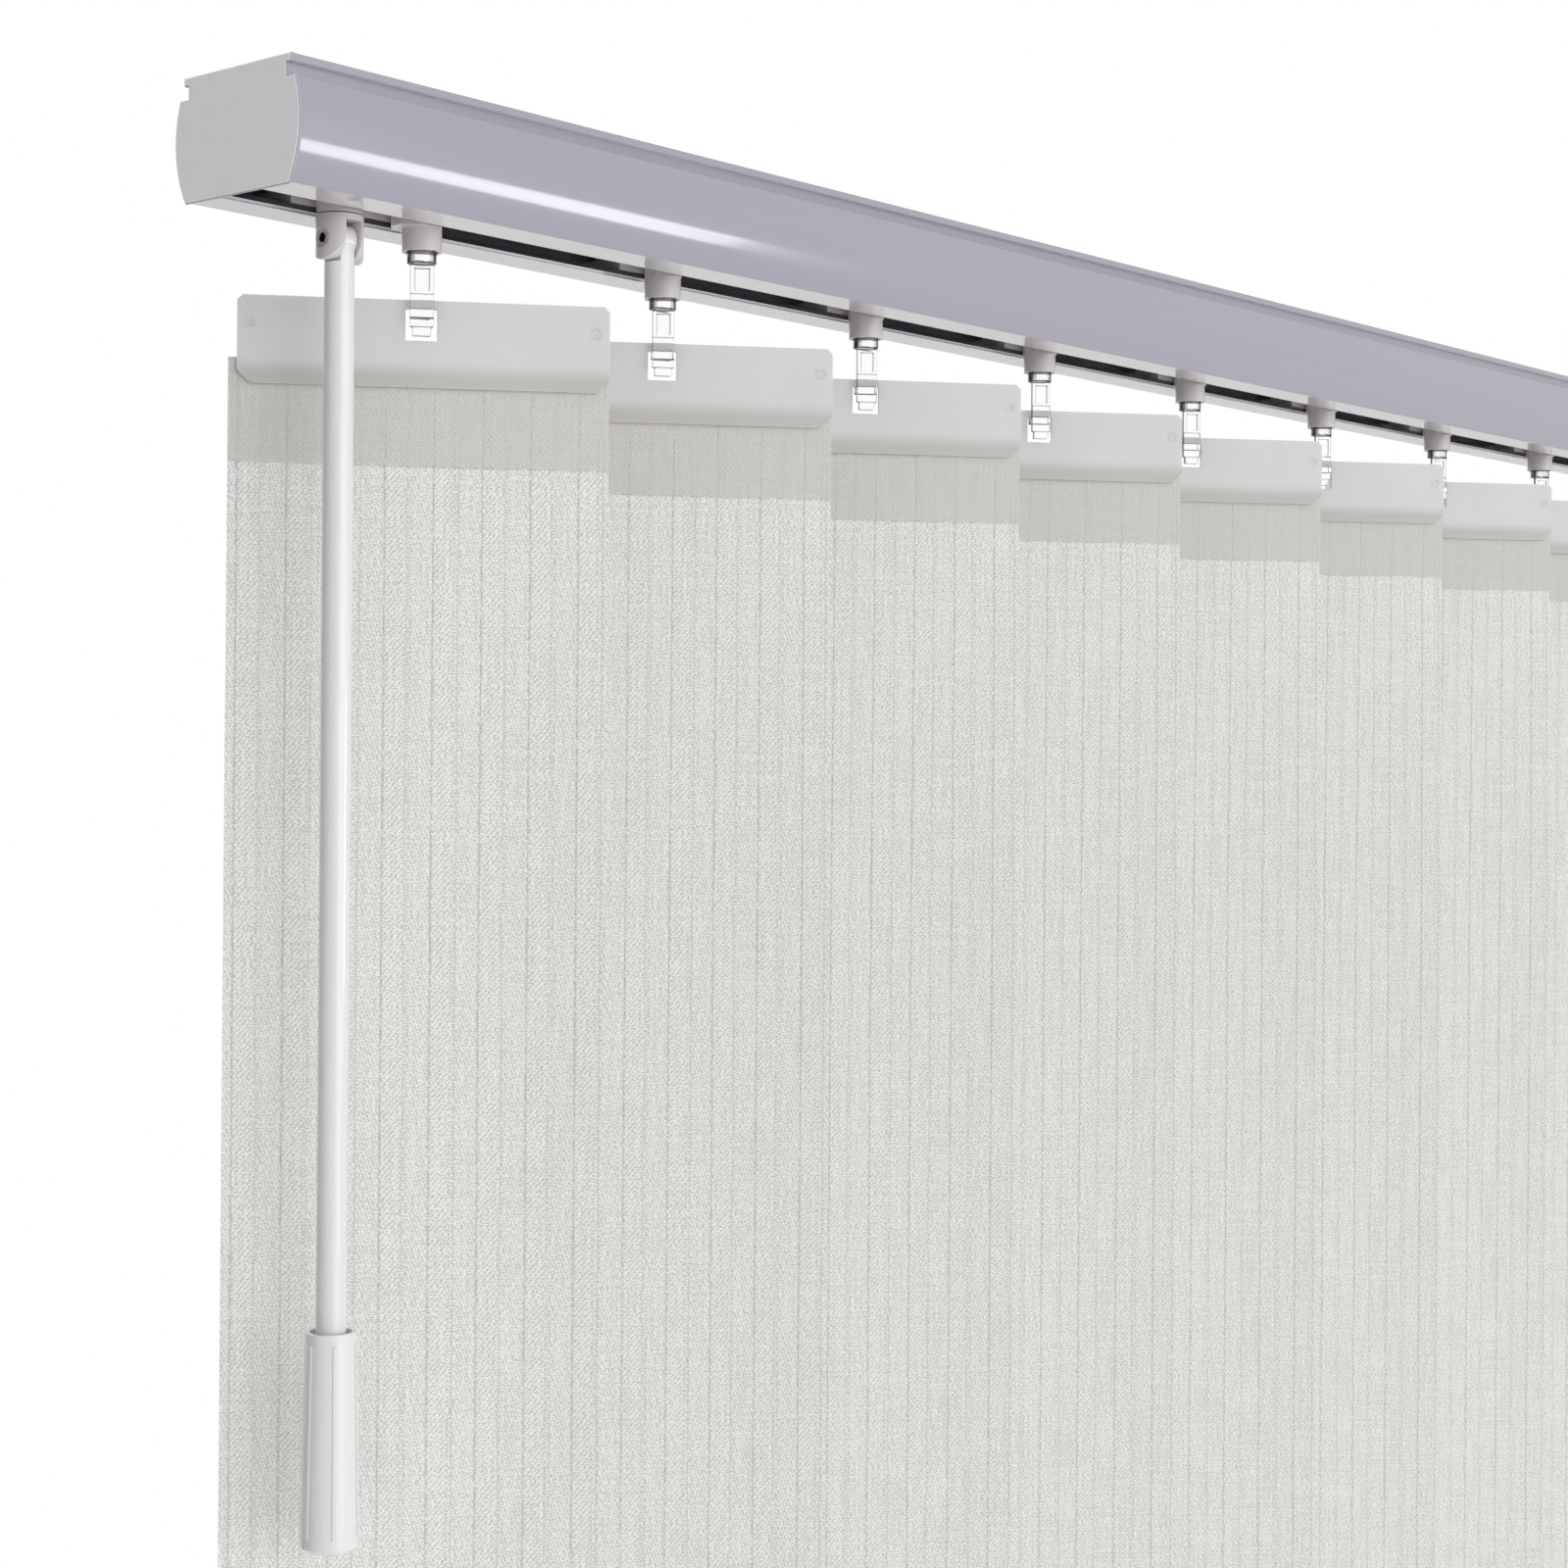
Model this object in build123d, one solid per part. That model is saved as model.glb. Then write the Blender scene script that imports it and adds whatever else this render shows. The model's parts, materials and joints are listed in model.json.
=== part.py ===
from build123d import *
import math
import os

# Vertical blind, in millimetres. The origin is the middle of the rail's top face.
# +X runs along the rail away from the wand, -Y faces the room, +Z is up.

# Overall layout
SLAT_COUNT = 9
SLAT_PITCH = 82.0
END_MARGIN = 53.8
DROP = 914.0
SLAT_ANGLE = 39.0
WAND_OFFSET = 24.9

# Head rail section
RAIL_HEIGHT = 28.0
RAIL_WALL = 1.5
LIP_HALF = 18.4
LIP_HEIGHT = 1.6
GROOVE_HALF = 16.9
GROOVE_HEIGHT = 3.6
BULGE_HALF = 21.5
BULGE_DROP = 14.5
BOTTOM_HALF = 18.0
SLOT_WIDTH = 11.2
SLOT_STEP_WIDTH = 1.8
SLOT_STEP_DEPTH = 0.4

# End caps
CAP_PLATE = 0.9
CAP_PROUD = 0.3
CAP_PLUG_DEPTH = 3.6
CAP_PLUG_CLEARANCE = 0.15
CAP_EDGE_BEVEL = 0.25

# Square tilt rod
ROD_SIDE = 3.2
ROD_REACH_IN_CAP = 3.0
ROD_BORE_CLEARANCE = 0.08
GEAR_DISTANCE = 8.5
GEAR_DROP = 15.0

# Worms and toothed wheels
WORM_ROOT_DIAMETER = 5.8
WORM_SIDES = 12
WORM_LENGTH = 13.0
GEAR_ROOM_WIDTH = 8.4
WHEEL_TEETH = 20
WHEEL_MODULE = 0.5
WHEEL_FACE = 4.0
DEDENDUM_SHARE = 1.25
TOOTH_ROOT_SHARE = 0.7
MESH_GAP = 0.1
PIVOT_PLAY = 0.2

# Carriers
CARRIER_LENGTH = 20.0
WAND_CARRIER_LENGTH = 24.5
CARRIER_HALF = 14.2
CARRIER_TOP_DROP = 9.6
WING_HEIGHT = 3.2
CARRIER_HOLLOW = 5.0
RUN_CLEARANCE = 0.2
WING_SIDE_CLEARANCE = 0.5
KEEL_CLEARANCE = 0.3
KEEL_REACH = 4.6
KEEL_NOSE = 3.2
KEEL_NOSE_SHARE = 0.35
LEAD_REACH = 8.0
NECK_DIAMETER = 9.4
NECK_DROP = 5.3
STEM_DIAMETER = 7.0
STEM_SIDES = 24
BORE_FLATS = 8

# Spacer links, each a strip on edge that runs through a gate on the next carrier
LINK_THICKNESS = 0.5
LINK_HEIGHT = 3.6
LINK_LIFT = 0.4
LINK_ROOT_LENGTH = 6.0
LINK_HEAD_LENGTH = 2.0
LINK_HEAD_THICKNESS = 1.3
LINK_SLACK = 0.2
LINK_LANES = 5
LINK_LANE_PITCH = 1.6
LINK_OUTER_LANE = 13.3
GATE_LENGTH = 3.0
GATE_WALL = 0.35
GATE_PLAY = 0.15

# Clear hooks
COLLAR_DROP = 8.0
STRIP_WIDTH = 5.6
STRIP_THICKNESS = 1.5
STRIP_STEP_DROP = 15.4
STRIP_STEP_PROUD = 0.4
STRIP_PANEL_DROP = 9.4
STRIP_PANEL_HEIGHT = 5.2
STRIP_PANEL_RIM = 1.1
STRIP_PANEL_DEPTH = 0.4
HOOK_LEG_DROP = 23.1
HOOK_DROP = 25.2
HOOK_FOOT_WIDTH = 4.4
HOOK_BRIDGE = 1.9
HOOK_BACK_DROP = 16.9
HOOK_CLEARANCE = 0.3

# Hangers
HANGER_DROP = 16.6
HANGER_HEIGHT = 20.5
HANGER_THICKNESS = 1.0
HANGER_INSET = 2.0
HANGER_TOP_BEVEL = 1.3
HANGER_FOOT_CHAMFER = 3.0
HANGER_BAR = 2.1
HANGER_HOLE = 7.4

# Slats
SLAT_WIDTH = 89.0
CLOTH = 0.5
FOLD_BEVEL = 0.3
CLOTH_DROP = 31.2
HEM_HEIGHT = 24.2
FOOT_HEM_HEIGHT = 30.0
FOOT_HEM_TAPER = 6.0
FOOT_WEIGHT = 1.2

# Wand
YOKE_DIAMETER = 10.9
YOKE_GAP = 0.3
WAND_NECK_DROP = 0.4
YOKE_CROWN = 1.4
YOKE_SLOT = 4.5
PIN_DROP = 6.2
CHEEK_RADIUS = 4.9
WAND_GEAR_TEETH = 17
WAND_GEAR_FACE = 4.0
TANG_SQUARE = 4.0
ROD_GEAR_LENGTH = 9.0
PIN_DIAMETER = 2.6
PIN_HEAD_DIAMETER = 4.4
PIN_HEAD_HEIGHT = 1.8
PIN_HEAD_INSET = 0.35
PIN_TAIL_INSET = 1.0
PIN_SOCKET_FLATS = 2.2
PIN_SOCKET_DEPTH = 1.1
PIN_PLAY = 0.06
TONGUE_WIDTH = 4.1
TONGUE_RADIUS = 3.7
TIP_COLLAR = 1.0
TIP_SPIGOT_DIAMETER = 4.0
TIP_SPIGOT_LENGTH = 14.0
WAND_ROD_DIAMETER = 7.0
WAND_LENGTH = 304.7
GRIP_LENGTH = 49.5
GRIP_TOP_DIAMETER = 11.6
GRIP_FOOT_DIAMETER = 13.5
GRIP_FOOT_BEVEL = 0.8
GRIP_RECESS_DEPTH = 3.0
GRIP_RECESS_WALL = 1.0
GRIP_SOCKET_DEPTH = 22.0
GRIP_RIB_COUNT = 6
GRIP_FLATS = 6
GRIP_RIB_WIDTH = 0.9
GRIP_RIB_PROUD = 0.3
GRIP_RIB_INSET = 2.5

OVERRUN = 1.0

# Places worked out from the sizes above
RAIL_LENGTH = (SLAT_COUNT - 1) * SLAT_PITCH + 2 * END_MARGIN
FIRST_STEM_X = -(SLAT_COUNT - 1) * SLAT_PITCH / 2
WAND_X = FIRST_STEM_X - WAND_OFFSET
UNDERSIDE_Z = -RAIL_HEIGHT
FLOOR_Z = UNDERSIDE_Z + RAIL_WALL
SHOULDER_Z = -LIP_HEIGHT - GROOVE_HEIGHT
BULGE_Z = -BULGE_DROP
BOW_RISE = BULGE_HALF - BOTTOM_HALF
BOW_DROP = RAIL_HEIGHT - BULGE_DROP
BOW_RADIUS = (BOW_DROP**2 + BOW_RISE**2) / (2 * BOW_RISE)
BOW_CENTRE = BULGE_HALF - BOW_RADIUS
GEAR_Z = -GEAR_DROP
ROD_SWEEP = ROD_SIDE * math.sqrt(2)
CARRIER_TOP_Z = -CARRIER_TOP_DROP
CARRIER_FOOT_Z = FLOOR_Z + RUN_CLEARANCE
WHEEL_TIP_RADIUS = WHEEL_MODULE * (WHEEL_TEETH / 2 + 1)
STEM_BORE_DIAMETER = STEM_DIAMETER + 2 * PIVOT_PLAY
COLLAR_Z = UNDERSIDE_Z - COLLAR_DROP
HOOK_LEG_Z = UNDERSIDE_Z - HOOK_LEG_DROP
HOOK_FOOT_Z = UNDERSIDE_Z - HOOK_DROP
HANGER_TOP_Z = UNDERSIDE_Z - HANGER_DROP
CLOTH_TOP_Z = UNDERSIDE_Z - CLOTH_DROP
HANGER_HALF = HANGER_THICKNESS / 2
PIN_Z = UNDERSIDE_Z - PIN_DROP
TIP_SHOULDER_Z = PIN_Z - CHEEK_RADIUS - YOKE_GAP
WAND_ROD_TOP_Z = TIP_SHOULDER_Z - TIP_COLLAR
WAND_FOOT_Z = UNDERSIDE_Z - WAND_LENGTH
GRIP_TOP_Z = WAND_FOOT_Z + GRIP_LENGTH


def stem_x(number):
    """Place along the rail of the slat with this number, counted from 1 at the wand end."""
    return FIRST_STEM_X + (number - 1) * SLAT_PITCH


def bow_half(z, inset):
    """Half width of the rail's bowed side at height z, measured inset from its outer skin."""
    return BOW_CENTRE + math.sqrt((BOW_RADIUS - inset) ** 2 - (z - BULGE_Z) ** 2)


def bowed_face(corners, foot_z, inset):
    """Face across the rail: the corners of its upper half, then the bowed side, and their mirror."""
    foot = (bow_half(foot_z, inset), foot_z)
    right = [
        Polyline(*corners),
        ThreePointArc(corners[-1], (BULGE_HALF - inset, BULGE_Z), foot),
        Line(foot, (0, foot_z)),
    ]
    left = [mirror(line, about=Plane.YZ) for line in right]
    return make_face([edge for line in right + left for edge in line.edges()])


def rail_face(grow):
    """The rail's outer section, with every face but the top moved out by grow."""
    lip_foot = -LIP_HEIGHT - grow
    shoulder = SHOULDER_Z + grow
    corners = [
        (0, 0),
        (LIP_HALF + grow, 0),
        (LIP_HALF + grow, lip_foot),
        (GROOVE_HALF + grow, lip_foot),
        (GROOVE_HALF + grow, shoulder),
        (bow_half(shoulder, -grow), shoulder),
    ]
    return bowed_face(corners, UNDERSIDE_Z - grow, -grow)


def channel_face(inset):
    """The hollow inside the rail, inset from the rail's outer skin."""
    shoulder = SHOULDER_Z - inset
    corners = [
        (0, -inset),
        (GROOVE_HALF - inset, -inset),
        (GROOVE_HALF - inset, shoulder),
        (bow_half(shoulder, inset), shoulder),
    ]
    return bowed_face(corners, UNDERSIDE_Z + inset, inset)


def along_rail(face, start_x, length):
    """Extrudes a face drawn across the rail along it, from start_x."""
    return Pos(start_x, 0, 0) * extrude(Plane.YZ * face, amount=length)


def upright(diameter, low_z, high_z):
    """A vertical cylinder about the local Z axis, between two heights."""
    height = high_z - low_z
    return Pos(0, 0, low_z + height / 2) * Cylinder(diameter / 2, height)


def lengthwise(diameter, length):
    """A cylinder along X, centred on the local origin."""
    return Rot(0, 90, 0) * Cylinder(diameter / 2, length)


def toothed_wheel(teeth, face):
    """A spur-toothed wheel about Z, centred on the local origin."""
    pitch_radius = WHEEL_MODULE * teeth / 2
    tip_radius = pitch_radius + WHEEL_MODULE
    root_radius = pitch_radius - DEDENDUM_SHARE * WHEEL_MODULE
    step = 2 * math.pi / teeth
    flank = [
        (root_radius, -TOOTH_ROOT_SHARE / 2),
        (tip_radius, 0),
        (root_radius, TOOTH_ROOT_SHARE / 2),
    ]
    points = []
    for tooth in range(teeth):
        for radius, share in flank:
            angle = (tooth + share) * step
            points.append((radius * math.cos(angle), radius * math.sin(angle)))
    outline = make_face(Polyline(*points, close=True))
    return Pos(0, 0, -face / 2) * extrude(outline, amount=face)


def make_head_rail():
    """The extruded channel: bracket grooves high on both sides and a slot along the underside."""
    rail = along_rail(rail_face(0), -RAIL_LENGTH / 2, RAIL_LENGTH)
    rail -= along_rail(channel_face(RAIL_WALL), -RAIL_LENGTH / 2, RAIL_LENGTH)
    rail -= Pos(0, 0, UNDERSIDE_Z) * Box(RAIL_LENGTH, SLOT_WIDTH, 2 * RAIL_WALL + OVERRUN)
    step_width = SLOT_WIDTH + 2 * SLOT_STEP_WIDTH
    rail -= Pos(0, 0, UNDERSIDE_Z) * Box(RAIL_LENGTH, step_width, 2 * SLOT_STEP_DEPTH)
    return rail


def make_end_cap(side):
    """A moulded cap on one end, side -1 or 1: a plate, a plug in the rail and a bearing for the tilt rod."""
    plate = along_rail(rail_face(CAP_PROUD), -CAP_PLATE, CAP_PLATE)
    plate = chamfer(plate.faces().sort_by(Axis.X)[0].edges(), CAP_EDGE_BEVEL)
    plug = along_rail(channel_face(RAIL_WALL + CAP_PLUG_CLEARANCE), 0, CAP_PLUG_DEPTH)
    reach = ROD_REACH_IN_CAP + PIVOT_PLAY
    flats = RegularPolygon(ROD_SWEEP / 2 + ROD_BORE_CLEARANCE, BORE_FLATS, major_radius=False)
    bearing = Pos(0, GEAR_DISTANCE, GEAR_Z) * along_rail(flats, CAP_PLUG_DEPTH - reach, reach)
    cap = plate + plug - bearing
    turned = cap if side < 0 else mirror(cap, about=Plane.YZ)
    return Pos(side * RAIL_LENGTH / 2, 0, 0) * turned


def make_tilt_rod():
    """The rod that turns every worm, from one cap's bearing to the other's."""
    length = RAIL_LENGTH - 2 * (CAP_PLUG_DEPTH - ROD_REACH_IN_CAP)
    return Pos(0, GEAR_DISTANCE, GEAR_Z) * Box(length, ROD_SIDE, ROD_SIDE)


def rod_bore(length):
    """The square hole that slides on the tilt rod and turns with it."""
    side = ROD_SIDE + 2 * ROD_BORE_CLEARANCE
    return Box(length + 2 * OVERRUN, side, side)


def make_tilt_worm(x):
    """The worm on the tilt rod inside one carrier, drawn many-sided at the root of its thread."""
    section = RegularPolygon(WORM_ROOT_DIAMETER / 2, WORM_SIDES)
    worm = along_rail(section, -WORM_LENGTH / 2, WORM_LENGTH)
    return Pos(x, GEAR_DISTANCE, GEAR_Z) * (worm - rod_bore(WORM_LENGTH))


def make_rod_gear():
    """The gear on the tilt rod inside the wand carrier. The wand's own gear turns it."""
    wand_gear_tip = WHEEL_MODULE * (WAND_GEAR_TEETH / 2 + 1)
    radius = GEAR_DISTANCE - wand_gear_tip - MESH_GAP
    gear = lengthwise(2 * radius, ROD_GEAR_LENGTH)
    return Pos(WAND_X, GEAR_DISTANCE, GEAR_Z) * (gear - rod_bore(ROD_GEAR_LENGTH))


def carrier_body(start_x, length):
    """A slider inside the rail: wings on the rail's floor and an upright body, hollow above the slot."""
    wing_top = CARRIER_FOOT_Z + WING_HEIGHT
    wing_inset = RAIL_WALL + WING_SIDE_CLEARANCE
    section = Polyline(
        (-CARRIER_HALF, CARRIER_TOP_Z),
        (CARRIER_HALF, CARRIER_TOP_Z),
        (CARRIER_HALF, wing_top),
        (bow_half(wing_top, wing_inset), wing_top),
        (bow_half(CARRIER_FOOT_Z, wing_inset), CARRIER_FOOT_Z),
        (-bow_half(CARRIER_FOOT_Z, wing_inset), CARRIER_FOOT_Z),
        (-bow_half(wing_top, wing_inset), wing_top),
        (-CARRIER_HALF, wing_top),
        close=True,
    )
    body = along_rail(make_face(section), start_x, length)
    middle = Pos(start_x + length / 2, 0, CARRIER_FOOT_Z)
    return body - middle * Box(length + OVERRUN, SLOT_WIDTH, 2 * CARRIER_HOLLOW)


def keel(start_x, end_x):
    """The guide below a slider, from its hollow down through the slot, with a tapered nose at each end."""
    half = SLOT_WIDTH / 2 - KEEL_CLEARANCE
    nose = half * KEEL_NOSE_SHARE
    outline = Polyline(
        (start_x, -nose),
        (start_x + KEEL_NOSE, -half),
        (end_x - KEEL_NOSE, -half),
        (end_x, -nose),
        (end_x, nose),
        (end_x - KEEL_NOSE, half),
        (start_x + KEEL_NOSE, half),
        (start_x, nose),
        close=True,
    )
    height = CARRIER_FOOT_Z + CARRIER_HOLLOW - UNDERSIDE_Z
    return Pos(0, 0, UNDERSIDE_Z) * extrude(make_face(outline), amount=height)


def open_room(width, length, depth):
    """Room about the tilt rod, open at the top of the slider and as deep below the rod's axis as given."""
    height = CARRIER_TOP_Z + OVERRUN - GEAR_Z + depth
    return Pos(0, GEAR_DISTANCE, GEAR_Z - depth + height / 2) * Box(length, width, height)


def bored(carrier, neck_foot_z, wheel_diameter, wheel_face):
    """Cuts a slider's upright bore, whose flats guide the stem, and the wider square room of the wheel."""
    bore_foot = neck_foot_z - OVERRUN
    flats = RegularPolygon(STEM_BORE_DIAMETER / 2, BORE_FLATS, major_radius=False)
    carrier -= Pos(0, 0, bore_foot) * extrude(flats, amount=CARRIER_TOP_Z - bore_foot)
    room = wheel_diameter + 4 * PIVOT_PLAY
    seat_z = GEAR_Z - wheel_face / 2 - PIVOT_PLAY
    height = CARRIER_TOP_Z + OVERRUN - seat_z
    return carrier - Pos(0, 0, seat_z + height / 2) * Box(room, room, height)


def link_lane(number):
    """How far in front of the rail's middle the link of this carrier lies."""
    return LINK_OUTER_LANE - number % LINK_LANES * LINK_LANE_PITCH


def edge_strip(start_x, end_x, lane, thickness, low_z, high_z):
    """An upright strip along the rail in one link's lane."""
    height = high_z - low_z
    middle = Pos((start_x + end_x) / 2, -lane, low_z + height / 2)
    return middle * Box(end_x - start_x, thickness, height)


def spacer_link(number):
    """The strip that pulls the next carrier along, with a head too thick for that carrier's gate."""
    lane = link_lane(number)
    low_z = CARRIER_TOP_Z + LINK_LIFT
    high_z = low_z + LINK_HEIGHT
    head_end = -SLAT_PITCH - GATE_LENGTH / 2 - LINK_SLACK
    head_start = head_end - LINK_HEAD_LENGTH
    root_half = LINK_ROOT_LENGTH / 2
    link = edge_strip(head_start, root_half, lane, LINK_THICKNESS, low_z, high_z)
    link += edge_strip(head_start, head_end, lane, LINK_HEAD_THICKNESS, low_z, high_z)
    return link + edge_strip(-root_half, root_half, lane, LINK_THICKNESS, CARRIER_TOP_Z, low_z)


def link_gate(number):
    """The two walls on a carrier's top that guide the link of the carrier with this number."""
    high_z = CARRIER_TOP_Z + LINK_LIFT + LINK_HEIGHT
    offset = LINK_THICKNESS / 2 + GATE_PLAY + GATE_WALL / 2
    half = GATE_LENGTH / 2
    walls = [
        edge_strip(-half, half, link_lane(number) + side * offset, GATE_WALL, CARRIER_TOP_Z, high_z)
        for side in (-1, 1)
    ]
    return walls[0] + walls[1]


def make_carrier(number):
    """The slider that carries one slat, with a seat for its toothed wheel and a neck below the rail."""
    neck_foot = UNDERSIDE_Z - NECK_DROP
    carrier = carrier_body(-CARRIER_LENGTH / 2, CARRIER_LENGTH)
    carrier += keel(-LEAD_REACH if number == 1 else -KEEL_REACH, KEEL_REACH)
    carrier += upright(NECK_DIAMETER, neck_foot, UNDERSIDE_Z)
    carrier = bored(carrier, neck_foot, 2 * WHEEL_TIP_RADIUS, WHEEL_FACE)
    carrier -= open_room(GEAR_ROOM_WIDTH, WORM_LENGTH + 2 * PIVOT_PLAY, GEAR_ROOM_WIDTH / 2)
    rod_room = ROD_SWEEP + 2 * PIVOT_PLAY
    carrier -= open_room(rod_room, CARRIER_LENGTH + OVERRUN, rod_room / 2)
    if number > 1:
        carrier += spacer_link(number)
    if number < SLAT_COUNT:
        carrier += link_gate(number + 1)
    return Pos(stem_x(number), 0, 0) * carrier


def make_wand_carrier():
    """The slider above the wand. It butts against the first carrier and moves with it."""
    start = WAND_OFFSET - CARRIER_LENGTH / 2 - WAND_CARRIER_LENGTH
    neck_foot = UNDERSIDE_Z - WAND_NECK_DROP
    carrier = carrier_body(start, WAND_CARRIER_LENGTH)
    carrier += upright(SLOT_WIDTH - 2 * KEEL_CLEARANCE, neck_foot, CARRIER_FOOT_Z + CARRIER_HOLLOW)
    carrier = bored(carrier, neck_foot, WHEEL_MODULE * (WAND_GEAR_TEETH + 2), WAND_GEAR_FACE)
    carrier -= open_room(GEAR_ROOM_WIDTH, ROD_GEAR_LENGTH + 2 * PIVOT_PLAY, GEAR_ROOM_WIDTH / 2)
    rod_room = ROD_SWEEP + 2 * PIVOT_PLAY
    carrier -= open_room(rod_room, 2 * WAND_CARRIER_LENGTH, rod_room / 2)
    return Pos(WAND_X, 0, 0) * carrier


def place_on_stem(piece, x):
    """Turns a piece of a slat, drawn with its width along X, to the slat's angle on its stem."""
    return Pos(x, 0, 0) * Rot(0, 0, -SLAT_ANGLE) * piece


def make_hook(x):
    """The clear hook of one slat: toothed wheel, stem, flat strip and a clip through the hanger."""
    hook = Pos(0, 0, GEAR_Z) * toothed_wheel(WHEEL_TEETH, WHEEL_FACE)
    stem = RegularPolygon(STEM_DIAMETER / 2, STEM_SIDES)
    hook += Pos(0, 0, COLLAR_Z) * extrude(stem, amount=GEAR_Z - COLLAR_Z)
    front = HANGER_HALF + HOOK_CLEARANCE
    back = front + STRIP_THICKNESS
    stepped = back + STRIP_STEP_PROUD
    step_z = UNDERSIDE_Z - STRIP_STEP_DROP
    bridge_top = HANGER_TOP_Z - HANGER_BAR
    bridge_foot = bridge_top - HOOK_BRIDGE
    back_top = UNDERSIDE_Z - HOOK_BACK_DROP
    side = Polyline(
        (-front, COLLAR_Z),
        (-back, COLLAR_Z),
        (-back, step_z),
        (-stepped, step_z),
        (-stepped, HOOK_LEG_Z),
        (-front, HOOK_LEG_Z),
        (-front, bridge_foot),
        (back, bridge_foot),
        (back, back_top),
        (front, back_top),
        (front, bridge_top),
        (-front, bridge_top),
        close=True,
    )
    hook += along_rail(make_face(side), -STRIP_WIDTH / 2, STRIP_WIDTH)
    panel_middle = Pos(0, -back, UNDERSIDE_Z - STRIP_PANEL_DROP - STRIP_PANEL_HEIGHT / 2)
    hook -= panel_middle * Box(STRIP_WIDTH - 2 * STRIP_PANEL_RIM, 2 * STRIP_PANEL_DEPTH, STRIP_PANEL_HEIGHT)
    foot_middle = Pos(0, -(front + back) / 2, (HOOK_LEG_Z + HOOK_FOOT_Z) / 2)
    hook += foot_middle * Box(HOOK_FOOT_WIDTH, STRIP_THICKNESS, HOOK_LEG_Z - HOOK_FOOT_Z)
    return place_on_stem(hook, x)


def make_hanger(x):
    """The stiff plate at the top of one slat, with a square hole below the bar that the hook grips."""
    low_z = HANGER_TOP_Z - HANGER_HEIGHT
    right = SLAT_WIDTH / 2
    left = -right + HANGER_INSET
    outline = make_face(
        Polyline((left, low_z), (right, low_z), (right, HANGER_TOP_Z), (left, HANGER_TOP_Z), close=True)
    )
    outline = chamfer(outline.vertices().group_by(Axis.Y)[-1], HANGER_TOP_BEVEL)
    outline = chamfer(outline.vertices().group_by(Axis.Y)[0], HANGER_FOOT_CHAMFER)
    outline -= Pos(0, HANGER_TOP_Z - HANGER_BAR - HANGER_HOLE / 2) * Rectangle(HANGER_HOLE, HANGER_HOLE)
    plate = extrude(Plane.XZ * outline, amount=HANGER_HALF, both=True)
    return place_on_stem(plate, x)


def make_slat(x):
    """One cloth slat behind its hanger: a hem turned to the front at the top and a weighted foot."""
    front = HANGER_HALF
    middle = front + CLOTH
    back = middle + CLOTH
    fold_z = CLOTH_TOP_Z - FOLD_BEVEL
    hem_z = CLOTH_TOP_Z - HEM_HEIGHT
    foot_z = -DROP
    foot_front = middle - FOOT_WEIGHT - CLOTH
    foot_hem_z = foot_z + FOOT_HEM_HEIGHT
    section = Polyline(
        (front, fold_z),
        (front + FOLD_BEVEL, CLOTH_TOP_Z),
        (back - FOLD_BEVEL, CLOTH_TOP_Z),
        (back, fold_z),
        (back, foot_z),
        (foot_front, foot_z),
        (foot_front, foot_hem_z - FOOT_HEM_TAPER),
        (middle, foot_hem_z),
        (middle, hem_z),
        (front, hem_z),
        close=True,
    )
    return place_on_stem(along_rail(make_face(section), -SLAT_WIDTH / 2, SLAT_WIDTH), x)


def make_wand_gear():
    """The gear on top of the yoke's shaft, inside the wand carrier, with a square hole for the shaft."""
    gear = toothed_wheel(WAND_GEAR_TEETH, WAND_GEAR_FACE)
    gear -= Box(TANG_SQUARE, TANG_SQUARE, WAND_GEAR_FACE + OVERRUN)
    return Pos(WAND_X, 0, GEAR_Z) * gear


def make_wand_yoke():
    """The fork that the wand hangs from: a shaft up to its gear and two cheeks about the hinge screw."""
    crown_z = UNDERSIDE_Z - WAND_NECK_DROP - YOKE_GAP
    shaft_top = GEAR_Z - WAND_GEAR_FACE / 2
    body = upright(YOKE_DIAMETER, PIN_Z, crown_z)
    cheeks = Pos(0, 0, PIN_Z) * lengthwise(2 * CHEEK_RADIUS, YOKE_DIAMETER)
    column = upright(YOKE_DIAMETER, PIN_Z - CHEEK_RADIUS, PIN_Z)
    yoke = body + (cheeks & column)
    slot_height = crown_z - YOKE_CROWN - (PIN_Z - CHEEK_RADIUS) + OVERRUN
    slot_z = crown_z - YOKE_CROWN - slot_height / 2
    yoke -= Pos(0, 0, slot_z) * Box(YOKE_SLOT, YOKE_DIAMETER + OVERRUN, slot_height)
    yoke += upright(STEM_DIAMETER, crown_z, shaft_top)
    yoke += Pos(0, 0, shaft_top + WAND_GEAR_FACE / 2) * Box(TANG_SQUARE, TANG_SQUARE, WAND_GEAR_FACE)
    screw_way = lengthwise(PIN_DIAMETER + 2 * PIN_PLAY, YOKE_DIAMETER + OVERRUN)
    yoke -= Pos(0, 0, PIN_Z) * screw_way
    head_depth = PIN_HEAD_INSET + PIN_HEAD_HEIGHT
    head_room = lengthwise(PIN_HEAD_DIAMETER + 2 * PIN_PLAY, 2 * head_depth)
    yoke -= Pos(-YOKE_DIAMETER / 2, 0, PIN_Z) * head_room
    return Pos(WAND_X, 0, 0) * yoke


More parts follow.
